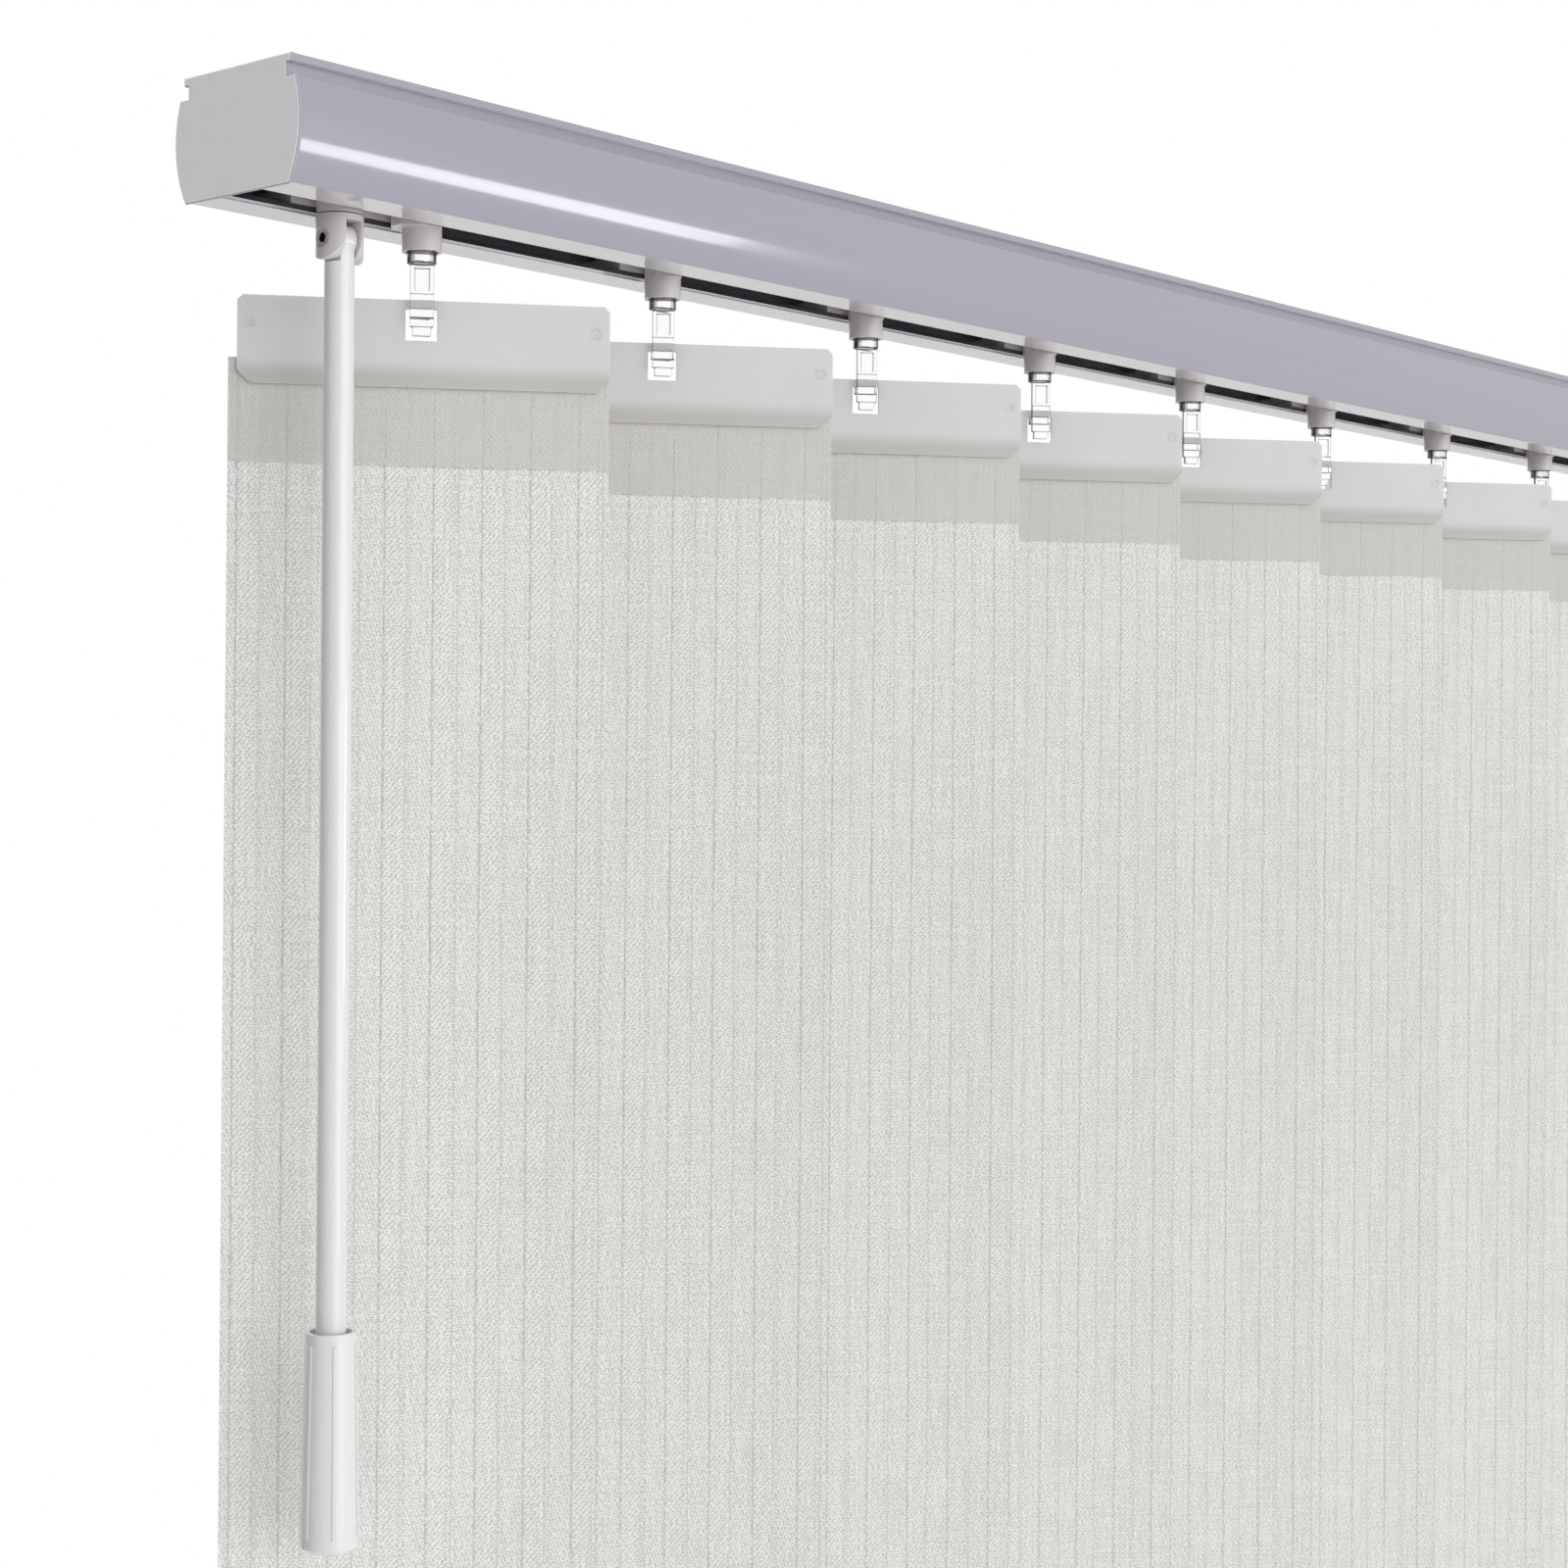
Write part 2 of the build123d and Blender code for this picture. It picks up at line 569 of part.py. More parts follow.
def make_wand_pin_screw():
    """The hinge screw through the yoke's cheeks, its hexagon socket facing the rail's near end."""
    outer_x = -YOKE_DIAMETER / 2 + PIN_HEAD_INSET
    tail_x = YOKE_DIAMETER / 2 - PIN_TAIL_INSET
    length = tail_x - outer_x
    screw = Pos(outer_x + length / 2, 0, 0) * lengthwise(PIN_DIAMETER, length)
    screw += Pos(outer_x + PIN_HEAD_HEIGHT / 2, 0, 0) * lengthwise(PIN_HEAD_DIAMETER, PIN_HEAD_HEIGHT)
    socket = RegularPolygon(PIN_SOCKET_FLATS / 2, 6, major_radius=False)
    screw -= Pos(outer_x, 0, 0) * extrude(Plane.YZ * socket, amount=PIN_SOCKET_DEPTH)
    return Pos(WAND_X, 0, PIN_Z) * screw


def make_wand_tip():
    """The tongue that swings on the hinge screw, with a spigot glued into the wand's rod."""
    tongue = Pos(0, 0, PIN_Z) * lengthwise(2 * TONGUE_RADIUS, TONGUE_WIDTH)
    reach = PIN_Z - TIP_SHOULDER_Z
    web = Pos(0, 0, PIN_Z - reach / 2) * Box(TONGUE_WIDTH, WAND_ROD_DIAMETER, reach)
    web &= upright(WAND_ROD_DIAMETER, TIP_SHOULDER_Z, PIN_Z)
    tip = tongue + web
    tip += upright(WAND_ROD_DIAMETER, WAND_ROD_TOP_Z, TIP_SHOULDER_Z)
    tip += upright(TIP_SPIGOT_DIAMETER, WAND_ROD_TOP_Z - TIP_SPIGOT_LENGTH, WAND_ROD_TOP_Z)
    tip -= Pos(0, 0, PIN_Z) * lengthwise(PIN_DIAMETER + 2 * PIN_PLAY, TONGUE_WIDTH + OVERRUN)
    return Pos(WAND_X, 0, 0) * tip


def make_wand_rod():
    """The slim round rod of the wand, down into the grip."""
    foot_z = GRIP_TOP_Z - GRIP_SOCKET_DEPTH
    rod = upright(WAND_ROD_DIAMETER, foot_z, WAND_ROD_TOP_Z)
    rod -= upright(TIP_SPIGOT_DIAMETER, WAND_ROD_TOP_Z - TIP_SPIGOT_LENGTH, WAND_ROD_TOP_Z)
    return Pos(WAND_X, 0, 0) * rod


def grip_radius(z):
    """Radius of the flared grip at height z, without its ribs."""
    share = (GRIP_TOP_Z - z) / GRIP_LENGTH
    return (GRIP_TOP_DIAMETER + share * (GRIP_FOOT_DIAMETER - GRIP_TOP_DIAMETER)) / 2


def ribbed_face(z):
    """Section of the grip at height z: fine ribs, with a few flats for the round between them."""
    radius = grip_radius(z)
    rib_half = GRIP_RIB_WIDTH / GRIP_FOOT_DIAMETER
    step = 2 * math.pi / GRIP_RIB_COUNT
    gap = step - 2 * rib_half
    points = []
    for rib in range(GRIP_RIB_COUNT):
        middle = rib * step
        corners = [
            (radius, middle - rib_half),
            (radius + GRIP_RIB_PROUD, middle - rib_half),
            (radius + GRIP_RIB_PROUD, middle + rib_half),
        ]
        corners += [(radius, middle + rib_half + gap * flat / GRIP_FLATS) for flat in range(GRIP_FLATS)]
        points += [(reach * math.cos(angle), reach * math.sin(angle)) for reach, angle in corners]
    return Pos(0, 0, z) * make_face(Polyline(*points, close=True))


def make_wand_grip():
    """The flared grip at the wand's foot: a hollow rim at the top, fine ribs and a bevelled end."""
    ribs_top = GRIP_TOP_Z - GRIP_RIB_INSET
    ribs_foot = WAND_FOOT_Z + GRIP_FOOT_BEVEL + GRIP_RIB_INSET
    foot = upright(2 * grip_radius(ribs_foot), WAND_FOOT_Z, ribs_foot)
    foot = chamfer(foot.edges().group_by(Axis.Z)[0], GRIP_FOOT_BEVEL)
    rim = upright(2 * grip_radius(ribs_top), ribs_top, GRIP_TOP_Z)
    grip = foot + loft([ribbed_face(ribs_foot), ribbed_face(ribs_top)], ruled=True) + rim
    grip -= upright(WAND_ROD_DIAMETER, GRIP_TOP_Z - GRIP_SOCKET_DEPTH, GRIP_TOP_Z)
    recess_diameter = GRIP_TOP_DIAMETER - 2 * GRIP_RECESS_WALL
    grip -= upright(recess_diameter, GRIP_TOP_Z - GRIP_RECESS_DEPTH, GRIP_TOP_Z + OVERRUN)
    return Pos(WAND_X, 0, 0) * grip


def make_parts():
    """Every piece of the blind by name, in place."""
    parts = {
        "head_rail": make_head_rail(),
        "end_cap_left": make_end_cap(-1),
        "end_cap_right": make_end_cap(1),
        "tilt_rod": make_tilt_rod(),
        "rod_gear": make_rod_gear(),
        "wand_carrier": make_wand_carrier(),
        "wand_gear": make_wand_gear(),
        "wand_yoke": make_wand_yoke(),
        "wand_pin_screw": make_wand_pin_screw(),
        "wand_tip": make_wand_tip(),
        "wand_rod": make_wand_rod(),
        "wand_grip": make_wand_grip(),
    }
    for number in range(1, SLAT_COUNT + 1):
        x = stem_x(number)
        parts[f"carrier_{number}"] = make_carrier(number)
        parts[f"tilt_worm_{number}"] = make_tilt_worm(x)
        parts[f"hook_{number}"] = make_hook(x)
        parts[f"hanger_{number}"] = make_hanger(x)
        parts[f"slat_{number}"] = make_slat(x)
    return parts


os.makedirs("parts", exist_ok=True)
for name, piece in make_parts().items():
    export_step(piece, f"parts/{name}.step")
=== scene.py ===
"""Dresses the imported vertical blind: cloth slats on clear hooks, a glossy rail and a white wand."""

import json
import logging
import math
from collections.abc import Callable
from dataclasses import dataclass
from enum import Enum

import bmesh
import bpy
from mathutils import Matrix, Vector

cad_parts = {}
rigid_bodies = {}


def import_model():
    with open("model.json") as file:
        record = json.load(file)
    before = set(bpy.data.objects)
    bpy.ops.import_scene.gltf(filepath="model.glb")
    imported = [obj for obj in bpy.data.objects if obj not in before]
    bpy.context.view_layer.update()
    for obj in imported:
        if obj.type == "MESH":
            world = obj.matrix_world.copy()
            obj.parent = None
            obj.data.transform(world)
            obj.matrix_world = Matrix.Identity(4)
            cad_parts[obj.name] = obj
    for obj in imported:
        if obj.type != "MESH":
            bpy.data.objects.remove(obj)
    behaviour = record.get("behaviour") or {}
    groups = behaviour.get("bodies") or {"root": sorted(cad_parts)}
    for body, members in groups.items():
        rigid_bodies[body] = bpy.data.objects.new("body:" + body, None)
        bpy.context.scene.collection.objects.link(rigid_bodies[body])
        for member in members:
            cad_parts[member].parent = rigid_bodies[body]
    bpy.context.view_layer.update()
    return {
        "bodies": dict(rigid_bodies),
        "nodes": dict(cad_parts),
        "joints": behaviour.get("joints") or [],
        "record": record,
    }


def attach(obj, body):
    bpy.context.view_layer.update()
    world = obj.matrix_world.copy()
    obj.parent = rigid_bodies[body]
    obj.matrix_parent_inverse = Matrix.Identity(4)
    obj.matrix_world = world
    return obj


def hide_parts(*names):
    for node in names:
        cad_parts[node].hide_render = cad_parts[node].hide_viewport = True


Colour = tuple[float, float, float, float]
Triple = tuple[float, float, float]
Span = tuple[float, float]
Socket = bpy.types.NodeSocket

LOG = logging.getLogger("vertical_blind")
MM = 0.001
SLAT_COUNT = 9
SLAT_PITCH = 82 * MM
SLAT_ANGLE = math.radians(39)
CLOTH_TOP = -59.2 * MM
SCREW_X = -358 * MM
CAP_FACE_X = 382.7 * MM
SMOOTH_ANGLE = math.radians(40)
WHITE = (1.0, 1.0, 1.0, 1.0)
EVEN_GLOW = (1.0, 1.0, 1.0)
CUT_MAP = "cut"
# How far behind a face a painted shade starts and ends.
MASK_START = 0.05 * MM
MASK_END = 0.15 * MM


class Slot(Enum):
    """Material slots of the record."""

    RAIL = "rail"
    CAP = "cap"
    CARRIER = "carrier"
    CLEAR = "clear"
    HANGER = "hanger"
    CLOTH = "cloth"
    WAND = "wand"
    STEEL = "steel"
    GEAR = "gear"
    ROD = "rod"


class ClothSide(Enum):
    """Materials of the slat cloth's two sides, in the order of a slat's material list."""

    FACE = "slat_cloth_face"
    REVERSE = "slat_cloth_reverse"


def tone(red: int, green: int, blue: int) -> Colour:
    """Turns a display colour into the linear one that shaders take, by the sRGB curve.

    Args:
        red: Red from 0 to 255.
        green: Green from 0 to 255.
        blue: Blue from 0 to 255.

    Returns:
        The linear colour, opaque.
    """
    linear = []
    for part in (red, green, blue):
        share = part / 255
        linear.append(share / 12.92 if share <= 0.04045 else ((share + 0.055) / 1.055) ** 2.4)
    return (linear[0], linear[1], linear[2], 1.0)


class Graph:
    """A node tree with short ways to add and join nodes."""

    # Colour sockets of a mix node, which share their names with its number and vector sockets.
    MIX_FIRST = 6
    MIX_SECOND = 7
    MIX_RESULT = 2

    def __init__(self, tree: bpy.types.NodeTree) -> None:
        """Empties the tree.

        Args:
            tree: The tree to build in.
        """
        self.tree = tree
        tree.nodes.clear()

    def add(self, kind: str, **settings: object) -> bpy.types.Node:
        """Adds a node.

        Args:
            kind: The node's type name.
            **settings: Properties to set on it.

        Returns:
            The new node.
        """
        node = self.tree.nodes.new(kind)
        for name, value in settings.items():
            setattr(node, name, value)
        return node

    def feed(self, socket: Socket, value: object) -> None:
        """Joins an input to an output, or sets it to a plain value.

        Args:
            socket: The input.
            value: An output socket, or a value.
        """
        if isinstance(value, bpy.types.NodeSocket):
            self.tree.links.new(value, socket)
        else:
            socket.default_value = value

    def calc(self, operation: str, *values: object) -> Socket:
        """Adds one sum.

        Args:
            operation: The math node's operation.
            *values: Sockets or numbers to work on.

        Returns:
            The result.
        """
        node = self.add("ShaderNodeMath", operation=operation)
        for socket, value in zip(node.inputs, values):
            self.feed(socket, value)
        return node.outputs[0]

    def ease(self, value: Socket, low: float, high: float, start: float = 0.0, end: float = 1.0) -> Socket:
        """Maps a range of a value smoothly to another range.

        Args:
            value: The value.
            low: Where the change starts.
            high: Where it ends.
            start: The result at and below low.
            end: The result at and above high.

        Returns:
            The mapped value.
        """
        node = self.add("ShaderNodeMapRange", interpolation_type="SMOOTHSTEP")
        for socket, item in zip(node.inputs, (value, low, high, start, end)):
            self.feed(socket, item)
        return node.outputs[0]

    def blend(self, share: object, first: object, second: object) -> Socket:
        """Mixes two colours.

        Args:
            share: How much of the second.
            first: A colour.
            second: A colour.

        Returns:
            The mixed colour.
        """
        node = self.add("ShaderNodeMix", data_type="RGBA")
        self.feed(node.inputs[0], share)
        self.feed(node.inputs[self.MIX_FIRST], first)
        self.feed(node.inputs[self.MIX_SECOND], second)
        return node.outputs[self.MIX_RESULT]

    def noise(self, vector: Socket, scale: float, detail: float) -> Socket:
        """Adds soft noise and returns its value.

        Args:
            vector: The place to read it at.
            scale: Patches in each metre.
            detail: Finer layers on top.

        Returns:
            The noise, from 0 to 1.
        """
        node = self.add("ShaderNodeTexNoise")
        self.feed(node.inputs["Vector"], vector)
        self.feed(node.inputs["Scale"], scale)
        self.feed(node.inputs["Detail"], detail)
        return node.outputs["Fac"]

    def streaks(self, vector: Socket, scale: Triple, detail: float) -> Socket:
        """Adds soft noise that is stretched along the axes.

        Args:
            vector: The place to read it at.
            scale: Patches in each metre along each axis.
            detail: Finer layers on top.

        Returns:
            The noise, from 0 to 1.
        """
        node = self.add("ShaderNodeMapping")
        self.feed(node.inputs["Vector"], vector)
        self.feed(node.inputs["Scale"], scale)
        return self.noise(node.outputs["Vector"], 1.0, detail)

    def axes(self, vector: Socket) -> bpy.types.NodeOutputs:
        """Splits a vector into its three parts."""
        node = self.add("ShaderNodeSeparateXYZ")
        self.feed(node.inputs[0], vector)
        return node.outputs

    def dot(self, vector: Socket, way: Triple) -> Socket:
        """Tells how far a vector goes a given way."""
        node = self.add("ShaderNodeVectorMath", operation="DOT_PRODUCT")
        self.feed(node.inputs[0], vector)
        self.feed(node.inputs[1], way)
        return node.outputs["Value"]

    def group(self, tree: bpy.types.NodeTree, **inputs: object) -> bpy.types.Node:
        """Places a node group.

        Args:
            tree: The group.
            **inputs: What its inputs get, by name.

        Returns:
            The group's node.
        """
        node = self.add("ShaderNodeGroup", node_tree=tree)
        for name, value in inputs.items():
            self.feed(node.inputs[name], value)
        return node


@dataclass(frozen=True)
class Ridges:
    """One set of ridges in the weave, at an angle to the slat's width."""

    slant: float
    spacing: float


@dataclass(frozen=True)
class Weave:
    """Sizes of the slat cloth's weave. Bands and edges are shares of the repeat, scales patches a metre."""

    repeat: float = 11.4 * MM
    offset: float = 1.0
    band_edge: float = 0.03
    coarse: Ridges = Ridges(math.radians(50), 0.96 * MM)
    steep: Ridges = Ridges(math.radians(-70), 0.8 * MM)
    rows: Ridges = Ridges(0.0, 0.76 * MM)
    columns: Ridges = Ridges(math.radians(90), 1.1 * MM)
    coarse_band: Span = (0.03, 0.42)
    dash_band: Span = (0.42, 0.55)
    steep_band: Span = (0.55, 0.97)
    crepe_scale: Triple = (1300.0, 3600.0, 1.0)
    crepe_detail: float = 2.0
    crepe_range: Span = (0.3, 0.7)
    crepe_share: float = 0.7
    twill_share: float = 0.3
    strong_edge: Span = (0.482, 0.497)
    weak_edge: Span = (0.01, 0.03)
    weak_level: float = 0.2
    break_scale: Triple = (400.0, 400.0, 1.0)
    break_range: Span = (0.35, 0.6)
    break_level: float = 0.2
    weft_scale: Triple = (60.0, 1500.0, 1.0)
    warp_scale: Triple = (1300.0, 45.0, 1.0)
    slub_detail: float = 1.0


class Effects:
    """The node groups that several finishes share, each built once."""

    CLOUD_SCALE = 55.0
    CLOUD_DETAIL = 3.0
    SKIN_SCALE = 2600.0
    SKIN_DETAIL = 2.0
    LINE_SCALE = (6.0, 2400.0, 2400.0)
    LINE_DETAIL = 2.0
    BAND_SCALE = (2.0, 160.0, 160.0)
    BAND_DETAIL = 1.0

    def __init__(self) -> None:
        """Builds the groups."""
        self.grain = self.mould_grain()
        self.lines = self.drawn_lines()
        self.weave = self.herringbone(Weave())

    @staticmethod
    def begin(name: str, outputs: tuple[str, ...]) -> tuple[Graph, Socket, bpy.types.Node]:
        """Starts a group that reads a place and gives values.

        Args:
            name: The group's name.
            outputs: Names of its values.

        Returns:
            The graph, the socket of the place, and the group's output node.
        """
        tree = bpy.data.node_groups.new(name, "ShaderNodeTree")
        tree.interface.new_socket("Place", in_out="INPUT", socket_type="NodeSocketVector")
        for output in outputs:
            tree.interface.new_socket(output, in_out="OUTPUT", socket_type="NodeSocketFloat")
        graph = Graph(tree)
        place = graph.add("NodeGroupInput").outputs["Place"]
        return graph, place, graph.add("NodeGroupOutput")

    def mould_grain(self) -> bpy.types.NodeTree:
        """Builds moulded plastic: a cloudy tone and a fine skin."""
        graph, place, end = self.begin("mould_grain", ("Cloud", "Skin"))
        graph.feed(end.inputs["Cloud"], graph.noise(place, self.CLOUD_SCALE, self.CLOUD_DETAIL))
        graph.feed(end.inputs["Skin"], graph.noise(place, self.SKIN_SCALE, self.SKIN_DETAIL))
        return graph.tree

    def drawn_lines(self) -> bpy.types.NodeTree:
        """Builds extruded metal: fine lines along X and broad bands of slightly different tone."""
        graph, place, end = self.begin("drawn_lines", ("Lines", "Bands"))
        graph.feed(end.inputs["Lines"], graph.streaks(place, self.LINE_SCALE, self.LINE_DETAIL))
        graph.feed(end.inputs["Bands"], graph.streaks(place, self.BAND_SCALE, self.BAND_DETAIL))
        return graph.tree

    def herringbone(self, weave: Weave) -> bpy.types.NodeTree:
        """Builds slat cloth: pinstripes, two slants of twill between them, and dashes where those meet.

        Args:
            weave: The sizes of the weave.

        Returns:
            The group.
        """
        graph, place, end = self.begin("slat_weave", ("Thread", "Stripe", "Slub"))
        across, along, _ = graph.axes(place)
        # The offset keeps the sum above zero on both sides of the slat's middle.
        shifted = graph.calc("ADD", across, weave.offset)
        share = graph.calc("FRACT", graph.calc("DIVIDE", shifted, weave.repeat))

        def ridged(ridges: Ridges) -> Socket:
            """Gives ridges, from 0 in the grooves to 1 on the crowns."""
            side = graph.calc("MULTIPLY", across, -math.sin(ridges.slant) * math.tau / ridges.spacing)
            rise = graph.calc("MULTIPLY", along, -math.cos(ridges.slant) * math.tau / ridges.spacing)
            wave = graph.calc("SINE", graph.calc("ADD", side, rise))
            return graph.calc("MULTIPLY_ADD", wave, 0.5, 0.5)

        def band(span: Span) -> Socket:
            """Gives a mask that is 1 between two shares of the repeat."""
            start, stop = span
            rise = graph.ease(share, start - weave.band_edge, start + weave.band_edge)
            fall = graph.ease(share, stop - weave.band_edge, stop + weave.band_edge, 1.0, 0.0)
            return graph.calc("MULTIPLY", rise, fall)

        dashes = graph.calc("MULTIPLY", ridged(weave.rows), ridged(weave.columns))
        twill = graph.calc("MULTIPLY", ridged(weave.coarse), band(weave.coarse_band))
        twill = graph.calc("MULTIPLY_ADD", dashes, band(weave.dash_band), twill)
        twill = graph.calc("MULTIPLY_ADD", ridged(weave.steep), band(weave.steep_band), twill)
        twill = graph.calc("MULTIPLY", twill, weave.twill_share)
        crepe = graph.streaks(place, weave.crepe_scale, weave.crepe_detail)
        crepe = graph.ease(crepe, *weave.crepe_range)
        graph.feed(end.inputs["Thread"], graph.calc("MULTIPLY_ADD", crepe, weave.crepe_share, twill))

        middle = graph.calc("ABSOLUTE", graph.calc("SUBTRACT", share, 0.5))
        strong = graph.ease(middle, *weave.strong_edge)
        weak = graph.ease(middle, *weave.weak_edge, weave.weak_level, 0.0)
        broken = graph.streaks(place, weave.break_scale, 0.0)
        broken = graph.ease(broken, *weave.break_range, weave.break_level, 1.0)
        stripe = graph.calc("ADD", strong, weak)
        graph.feed(end.inputs["Stripe"], graph.calc("MULTIPLY", stripe, broken))

        weft = graph.streaks(place, weave.weft_scale, weave.slub_detail)
        warp = graph.streaks(place, weave.warp_scale, weave.slub_detail)
        half_warp = graph.calc("MULTIPLY", warp, 0.5)
        graph.feed(end.inputs["Slub"], graph.calc("MULTIPLY_ADD", weft, 0.5, half_warp))
        return graph.tree


class Finish:
    """A material being built: its graph and its shader."""

    def __init__(self, name: str, roughness: float) -> None:
        """Starts a material with one Principled shader.

        Args:
            name: The material's name.
            roughness: The shader's roughness where nothing else feeds it.
        """
        self.material = bpy.data.materials.new(name)
        self.material.use_nodes = True
        self.graph = Graph(self.material.node_tree)
        self.shader = self.graph.add("ShaderNodeBsdfPrincipled")
        surface = self.graph.add("ShaderNodeOutputMaterial")
        self.graph.feed(surface.inputs["Surface"], self.shader.outputs[0])
        self.put("Roughness", roughness)

    def put(self, name: str, value: object) -> None:
        """Sets or feeds one of the shader's inputs."""
        self.graph.feed(self.shader.inputs[name], value)

    def place(self) -> Socket:
        """Gives the place on the object, in metres."""
        return self.graph.add("ShaderNodeTexCoord").outputs["Object"]

    def normal(self) -> Socket:
        """Gives the surface's direction on the object."""
        return self.graph.add("ShaderNodeTexCoord").outputs["Normal"]

    def coat(self, weight: float, roughness: float) -> None:
        """Adds a clear layer on top."""
        self.put("Coat Weight", weight)
        self.put("Coat Roughness", roughness)

    def glow(self, weight: float, radius: Triple, depth: float) -> None:
        """Lets light spread below the surface.

        Args:
            weight: How much of the light does.
            radius: How far each colour goes, as a share of the depth.
            depth: How far it goes, in metres.
        """
        self.put("Subsurface Weight", weight)
        self.put("Subsurface Radius", radius)
        self.put("Subsurface Scale", depth)

    def bump(self, height: Socket, depth: float, strength: float = 1.0) -> None:
        """Feeds the shader's normal from a height.

        Args:
            height: The height, from 0 to 1.
            depth: What 1 is in metres.
            strength: How much of it shows.
        """
        node = self.graph.add("ShaderNodeBump")
        self.graph.feed(node.inputs["Strength"], strength)
        self.graph.feed(node.inputs["Distance"], depth)
        self.graph.feed(node.inputs["Height"], height)
        self.put("Normal", node.outputs[0])


@dataclass(frozen=True)
class MouldedPlastic:
    """Moulded plastic, with cloudy tone and a fine skin, and painted shade on the faces behind an end face.
    """

    name: str
    light: Colour
    dark: Colour
    roughness: float
    skin_depth: float
    coat: float = 0.0
    glow: float = 0.0
    side: Colour | None = None
    face_x: float = 0.0

    CLOUD_RANGE = (0.2, 0.8)
    DULL = 1.15
    SHINY = 0.85
    COAT_ROUGHNESS = 0.06
    GLOW_RADIUS = (1.0, 0.95, 0.85)
    GLOW_DEPTH = 2.0 * MM

    def build(self, effects: Effects) -> bpy.types.Material:
        """Makes the material.

        Args:
            effects: The shared node groups.

        Returns:
            The material.
        """
        finish = Finish(self.name, self.roughness)
        graph = finish.graph
        grain = graph.group(effects.grain, Place=finish.place())
        cloud = grain.outputs["Cloud"]
        colour = graph.blend(cloud, self.dark, self.light)
        # Painted shade: the faces behind the end face, the rim among them, take the darker side colour so
        # that they don't catch the light.
        if self.side:
            inward = graph.calc("ABSOLUTE", graph.axes(finish.place())[0])
            behind = graph.ease(inward, self.face_x - MASK_END, self.face_x - MASK_START, 1.0, 0.0)
            colour = graph.blend(behind, colour, self.side)
        finish.put("Base Color", colour)
        dull = self.roughness * self.DULL
        shiny = self.roughness * self.SHINY
        finish.put("Roughness", graph.ease(cloud, *self.CLOUD_RANGE, dull, shiny))
        finish.coat(self.coat, self.COAT_ROUGHNESS)
        finish.glow(self.glow, self.GLOW_RADIUS, self.GLOW_DEPTH)
        finish.bump(grain.outputs["Skin"], self.skin_depth)
        return finish.material


@dataclass(frozen=True)
class DrawnMetal:
    """Extruded or drawn metal, with fine lines along X, painted light on the faces that point down, and
    painted shade in its slot or socket.
    """

    name: str
    light: Colour
    dark: Colour
    roughness: float
    metallic: float
    line_depth: float
    coat: float = 0.0
    painted_underside_light: Colour | None = None
    painted_recess_shade: Colour | None = None
    slot: float = 0.0
    socket_x: float | None = None

    LINE_RANGE = (0.3, 0.7)
    LINE_STRENGTH = 0.4
    DULL = 1.2
    SHINY = 0.85
    COAT_ROUGHNESS = 0.05
    DOWNWARD = (-0.99, -0.9)
    SLOT_TOP = -1 * MM

    def build(self, effects: Effects) -> bpy.types.Material:
        """Makes the material.

        Args:
            effects: The shared node groups.

        Returns:
            The material.
        """
        finish = Finish(self.name, self.roughness)
        graph = finish.graph
        drawn = graph.group(effects.lines, Place=finish.place())
        lines = drawn.outputs["Lines"]
        colour = graph.blend(drawn.outputs["Bands"], self.dark, self.light)
        # Painted light: faces that point down are lightened, standing in for the bright floor they reflect.
        if self.painted_underside_light:
            below = graph.ease(graph.axes(finish.normal())[2], *self.DOWNWARD, 1.0, 0.0)
            colour = graph.blend(below, colour, self.painted_underside_light)
        # Painted shade: the slot's inner walls, lip edges and ceiling take the dark colour, standing in for
        # the shade inside the rail.
        if self.slot:
            _, across, height = graph.axes(finish.place())
            within = graph.calc("LESS_THAN", graph.calc("ABSOLUTE", across), self.slot / 2)
            within = graph.calc("MULTIPLY", within, graph.calc("LESS_THAN", height, self.SLOT_TOP))
            colour = graph.blend(within, colour, self.painted_recess_shade)
        # Painted shade: the screw's socket, past the head's face, takes the dark colour.
        if self.socket_x is not None:
            along = graph.axes(finish.place())[0]
            deep = graph.ease(along, self.socket_x + MASK_START, self.socket_x + MASK_END)
            colour = graph.blend(deep, colour, self.painted_recess_shade)
        finish.put("Base Color", colour)
        finish.put("Metallic", self.metallic)
        dull = self.roughness * self.DULL
        shiny = self.roughness * self.SHINY
        finish.put("Roughness", graph.ease(lines, *self.LINE_RANGE, shiny, dull))
        finish.coat(self.coat, self.COAT_ROUGHNESS)
        finish.bump(lines, self.line_depth, self.LINE_STRENGTH)
        return finish.material


@dataclass(frozen=True)
class ClearPlastic:
    """Clear moulded plastic with faint flow in it, with painted dark outlines on the faces that aren't along
    the slat, for the dark edges that refraction shows.
    """

    name: str
    tint: Colour
    edge: Colour
    roughness: float

    FLAT_RANGE = (0.6, 0.98)
    REFRACTION = 1.5
    FLOW_DEPTH = 0.4 * MM
    FLOW_STRENGTH = 0.25

    def build(self, effects: Effects) -> bpy.types.Material:
        """Makes the material.

        Args:
            effects: The shared node groups.

        Returns:
            The material.
        """
        finish = Finish(self.name, self.roughness)
        graph = finish.graph
        grain = graph.group(effects.grain, Place=finish.place())
        front = (math.sin(SLAT_ANGLE), math.cos(SLAT_ANGLE), 0.0)
        # Painted shade: the faces that aren't along the slat take the dark edge colour, standing in for
        # refracted dark outlines.
        flat = graph.calc("ABSOLUTE", graph.dot(finish.normal(), front))
        finish.put("Base Color", graph.blend(graph.ease(flat, *self.FLAT_RANGE), self.edge, self.tint))
        finish.put("Transmission Weight", 1.0)
        finish.put("IOR", self.REFRACTION)
        finish.bump(grain.outputs["Cloud"], self.FLOW_DEPTH, self.FLOW_STRENGTH)
        return finish.material


